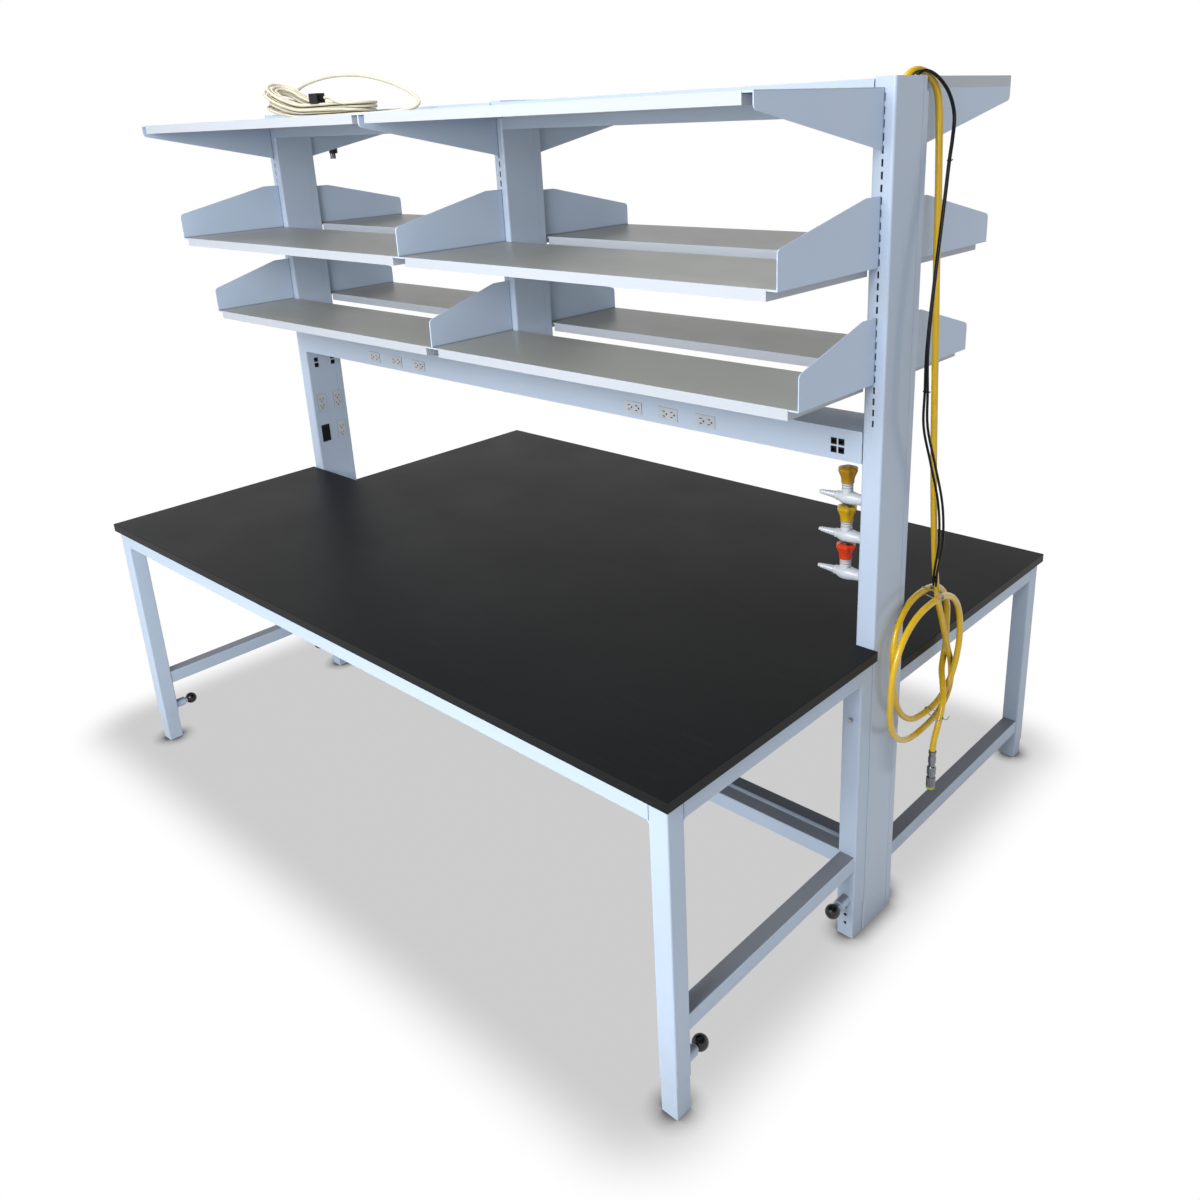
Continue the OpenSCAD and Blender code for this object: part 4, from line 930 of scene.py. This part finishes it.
# %% Profiles of the valves
RIDGES, RIDGE_PITCH, RIDGE_TAPER = 7, 6.4, 0.6


def nozzle_ridges():
    rows = []
    for k in range(RIDGES):
        thinner, along = RIDGE_TAPER * k, RIDGE_PITCH * k
        rows += [(9.8 - thinner, 94 + along), (7.9 - thinner, 94.6 + along)]
    return rows


ARM = [
    (0, -2.4), (17.6, -2.4), (17.6, 2.6), (16.6, 3.6), (12.4, 4.4), (12, 9), (12.4, 22), (14.2, 38),
    (16.6, 52), (17.6, 64), (16.4, 74), (13, 82), (11.4, 86), (11.4, 92), (9.6, 92.8)]
ARM += nozzle_ridges() + [(4.6, 139), (3, 139), (3, 132), (0, 132)]
NECK = [
    (0, 4), (14.6, 4), (13.6, 18), (13.4, 24), (12.4, 24.6), (12.4, 26), (13.6, 26.8), (13.6, 30.4),
    (12.4, 31.2), (12.4, 32.6), (13.6, 33.4), (13.6, 36), (4, 36), (4, 52), (0, 52)]
KNOB = [
    (0, 0), (14.6, 0), (15.4, 1), (15.6, 4, 0.02), (16.4, 10, 0.06), (18.6, 17, 0.1),
    (21.6, 24, 0.13), (24.4, 30, 0.15), (25.4, 33, 0.15), (24.8, 35.4, 0.15), (21, 38, 0.13),
    (16, 39.6, 0.08), (11.4, 40), (10.6, 39.4), (9.6, 39.6), (9, 41), (0, 41)]
print("valve arm", ARM[-3][1], "mm long, knob", KNOB[-1][1], "mm high")

# %% [markdown]
# The castings are fixed to the column and are joined into one piece. The knobs turn, so each
# stays a piece of its own and rides its own body.

# %% Valves and their knobs
LOWER_KNOB, MIDDLE_KNOB = node_box("valve_knob_lower"), node_box("valve_knob_middle")
KNOB_UP, KNOB_LIFT, KNOB_LOBES = 36.3, 4, 6
STEM_OUT = COLUMN[0][0] - middle(LOWER_KNOB)[0]
VALVE_STEP = MIDDLE_KNOB[0][2] - LOWER_KNOB[0][2]
VALVE_UP = LOWER_KNOB[0][2] + KNOB_LIFT - KNOB_UP
VALVE_AT = SPINE + Vector((COLUMN[0][0] - SPINE_X, middle(LOWER_KNOB)[1] - SPINE_Y, VALVE_UP)) * MM
KNOB_FINISHES = [("lower", "knob_orange"), ("middle", "knob_yellow"), ("upper", "knob_mustard")]


def at_valve(index, out, up):
    return Matrix.Translation(VALVE_AT + Vector((-out, 0, VALVE_STEP * index + up)) * MM)


def valve_body(index):
    turn = Matrix.Rotation(math.radians(-90), 4, "Y")
    arm = turned("valve_arm", ARM, SIDES_ROUND, valve_white)
    arm.data.transform(at_valve(index, 0, 0) @ turn)
    neck = turned("valve_neck", NECK, SIDES_ROUND, valve_white)
    neck.data.transform(at_valve(index, STEM_OUT, 0))
    return [arm, neck]


bodies = joined("valve_castings", [piece for i in range(len(KNOB_FINISHES)) for piece in valve_body(i)])
smooth_but_corners(bodies.data)
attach(bodies, "bench")
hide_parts("valve_bodies")
for index, (place, finish) in enumerate(KNOB_FINISHES):
    knob = turned("star_knob_" + place, KNOB, SIDES_FINE, FINISHES[finish], KNOB_LOBES)
    knob.data.transform(at_valve(index, STEM_OUT, KNOB_UP))
    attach(knob, "valve_knob_" + place)
    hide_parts("valve_knob_" + place)
print("valves at", VALVE_AT, "every", VALVE_STEP, "mm")

# %% [markdown]
# The bench stands on a white floor, in a wide soft shade that follows the tables. A lamp
# could cast it, but the photograph's shade has no lamp's edge. So it is worked out: how far a
# point of the floor lies outside a rectangle under the bench tells how white it is.

# %% Shade under the bench
# The painted shadow is grey inside this rectangle and fades to white between these distances.
POOL_SHIFT, POOL_HALF = (0.1, 0, 0), (1.2, 0.88, 0)
POOL_NEAR, POOL_FAR = 0.04, 0.32


def vector_step(material, operation, first, second=None):
    made = node(material, "ShaderNodeVectorMath", operation=operation)
    join(material, first, made.inputs[0])
    if second:
        made.inputs[1].default_value = second
    return made


def away_from_bench(material):
    shift = node(material, "ShaderNodeMapping", Location=POOL_SHIFT)
    join(material, object_place(material), shift.inputs["Vector"])
    size = vector_step(material, "ABSOLUTE", shift.outputs["Vector"])
    beyond = vector_step(material, "SUBTRACT", size.outputs["Vector"], POOL_HALF)
    outer = vector_step(material, "MAXIMUM", beyond.outputs["Vector"])
    far = vector_step(material, "LENGTH", outer.outputs["Vector"])
    return level(material, far.outputs["Value"], start=POOL_NEAR, full=POOL_FAR, kind="SMOOTHERSTEP")


print("shade fades over", round(POOL_FAR - POOL_NEAR, 2), "m")

# %% [markdown]
# The floor melts into a white background. A shadow catcher would need a picture put together
# afterwards. Instead the camera sees a floor that glows with light of its own, with a painted
# shadow: grey under the bench, dark where a foot stands and white further out, while the lamps'
# light meets a plain pale floor.

# %% Floor
FLOOR_HALF, FLOOR_PALE = 30, (0.6, 0.6, 0.6, 1)
CONTACT_REACH, CONTACT_SHADOW = 0.055, (0.05, 0.05, 0.055, 1)
POOL_SHADOW_GREY = srgb(204, 204, 204)


def seen_or_mirrored(material):
    sight = node(material, "ShaderNodeLightPath")
    either = node(material, "ShaderNodeMath", operation="MAXIMUM")
    join(material, sight.outputs["Is Camera Ray"], either.inputs[0])
    join(material, sight.outputs["Is Glossy Ray"], either.inputs[1])
    return either.outputs["Value"]


def floor_white():
    material, base = shader("floor_white", 0.9, specular=0)
    base.inputs["Base Color"].default_value = FLOOR_PALE
    # Painted shadow: near black where occlusion finds a foot, pool grey under the bench.
    near = node(material, "ShaderNodeAmbientOcclusion", samples=12, Distance=CONTACT_REACH)
    painted_shadow = ramp(material, near.outputs["AO"], [(0.55, CONTACT_SHADOW), (1.0, POOL_SHADOW_GREY)])
    glow = node(material, "ShaderNodeEmission", Strength=1.0)
    join(material, blend_by(material, away_from_bench(material), painted_shadow, WHITE), glow.inputs["Color"])
    pick = node(material, "ShaderNodeMixShader")
    join(material, seen_or_mirrored(material), pick.inputs["Fac"])
    join(material, base.outputs["BSDF"], pick.inputs[1])
    join(material, glow.outputs["Emission"], pick.inputs[2])
    out = next(n for n in material.node_tree.nodes if n.type == "OUTPUT_MATERIAL")
    join(material, pick.outputs["Shader"], out.inputs["Surface"])
    return material


def make_floor():
    mesh = bpy.data.meshes.new("floor")
    r = FLOOR_HALF
    mesh.from_pydata([(-r, -r, 0), (r, -r, 0), (r, r, 0), (-r, r, 0)], [], [(0, 1, 2, 3)])
    floor = bpy.data.objects.new("floor", mesh)
    bpy.context.collection.objects.link(floor)
    mesh.materials.append(floor_white())
    floor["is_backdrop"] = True


make_floor()
print("floor", 2 * FLOOR_HALF, "m wide")

# %% [markdown]
# The world is white to the camera and a soft light for everything else. Glossy pieces would
# mirror an even white and look flat, so they see it fade from bright near the horizon to dark
# overhead, as in a studio with a low white wall.

# %% Background
SEEN_LEVEL, LIGHT_LEVEL = 1.0, 0.575
MIRROR_LOW, MIRROR_HIGH = (0.3, 1.2), (0.5, 0.1)


def make_world():
    world = bpy.data.worlds.new("studio")
    bpy.context.scene.world = world
    world.use_nodes = True
    back = world.node_tree.nodes["Background"]
    back.inputs["Color"].default_value = WHITE
    path, pick = node(world, "ShaderNodeLightPath"), node(world, "ShaderNodeMix")
    seen = level(world, path.outputs["Is Camera Ray"], LIGHT_LEVEL, SEEN_LEVEL)
    height = part_of(world, node(world, "ShaderNodeTexCoord").outputs["Generated"], "Z")
    mirror = level(world, height, MIRROR_LOW[1], MIRROR_HIGH[1], MIRROR_LOW[0], MIRROR_HIGH[0])
    join(world, path.outputs["Is Glossy Ray"], pick.inputs["Factor"])
    join(world, seen, pick.inputs["A"])
    join(world, mirror, pick.inputs["B"])
    join(world, pick.outputs["Result"], back.inputs["Strength"])


make_world()
print("background level", SEEN_LEVEL, "light level", LIGHT_LEVEL)

# %% [markdown]
# Three large soft lamps make the photograph's light: a cool window in front, a warmer ceiling
# panel above and a faint fill that brightens the shelves. Small lamps would throw hard shadows
# that the photograph doesn't have.

# %% Lamps
LAMPS = [
    ("window_front", (0.9, -6.6, 4.6), (0, 0, 1.1), (4.4, 3), 304, (0.94, 0.972, 1)),
    ("ceiling", (-0.4, -0.6, 5.4), (0, 0, 0.8), (3.5, 2.5), 112, (1, 0.985, 0.96)),
    ("shelf_fill", (1.05, -2.9, 2.2), (-1.2, 0.2, 1.7), (1.4, 1.0), 46, (1, 0.99, 0.975))]


def make_lamp(name, at, aim, size, watts, colour):
    data = bpy.data.lights.new(name, "AREA")
    data.shape = "RECTANGLE"
    data.size, data.size_y = size
    data.energy = watts
    data.color = colour
    lamp = bpy.data.objects.new(name, data)
    lamp.location = at
    lamp.rotation_euler = (Vector(aim) - Vector(at)).to_track_quat("-Z", "Y").to_euler()
    bpy.context.collection.objects.link(lamp)


for lamp in LAMPS:
    make_lamp(*lamp)
print(len(LAMPS), "lamps")

# %% [markdown]
# The photograph's whites are plain white, so the picture is shown without a film curve. The
# last lines print the size of the dressed part and end with the sizes of the CAD frame and of the
# dressed part.

# %% View settings, sizes and the end
bpy.context.scene.view_settings.view_transform = "Standard"


def plain(box):
    return [[float(v) for v in corner] for corner in box]


print("dressed box", plain(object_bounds()))
{"cad": plain(CAD_BOX), "visual": plain(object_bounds())}
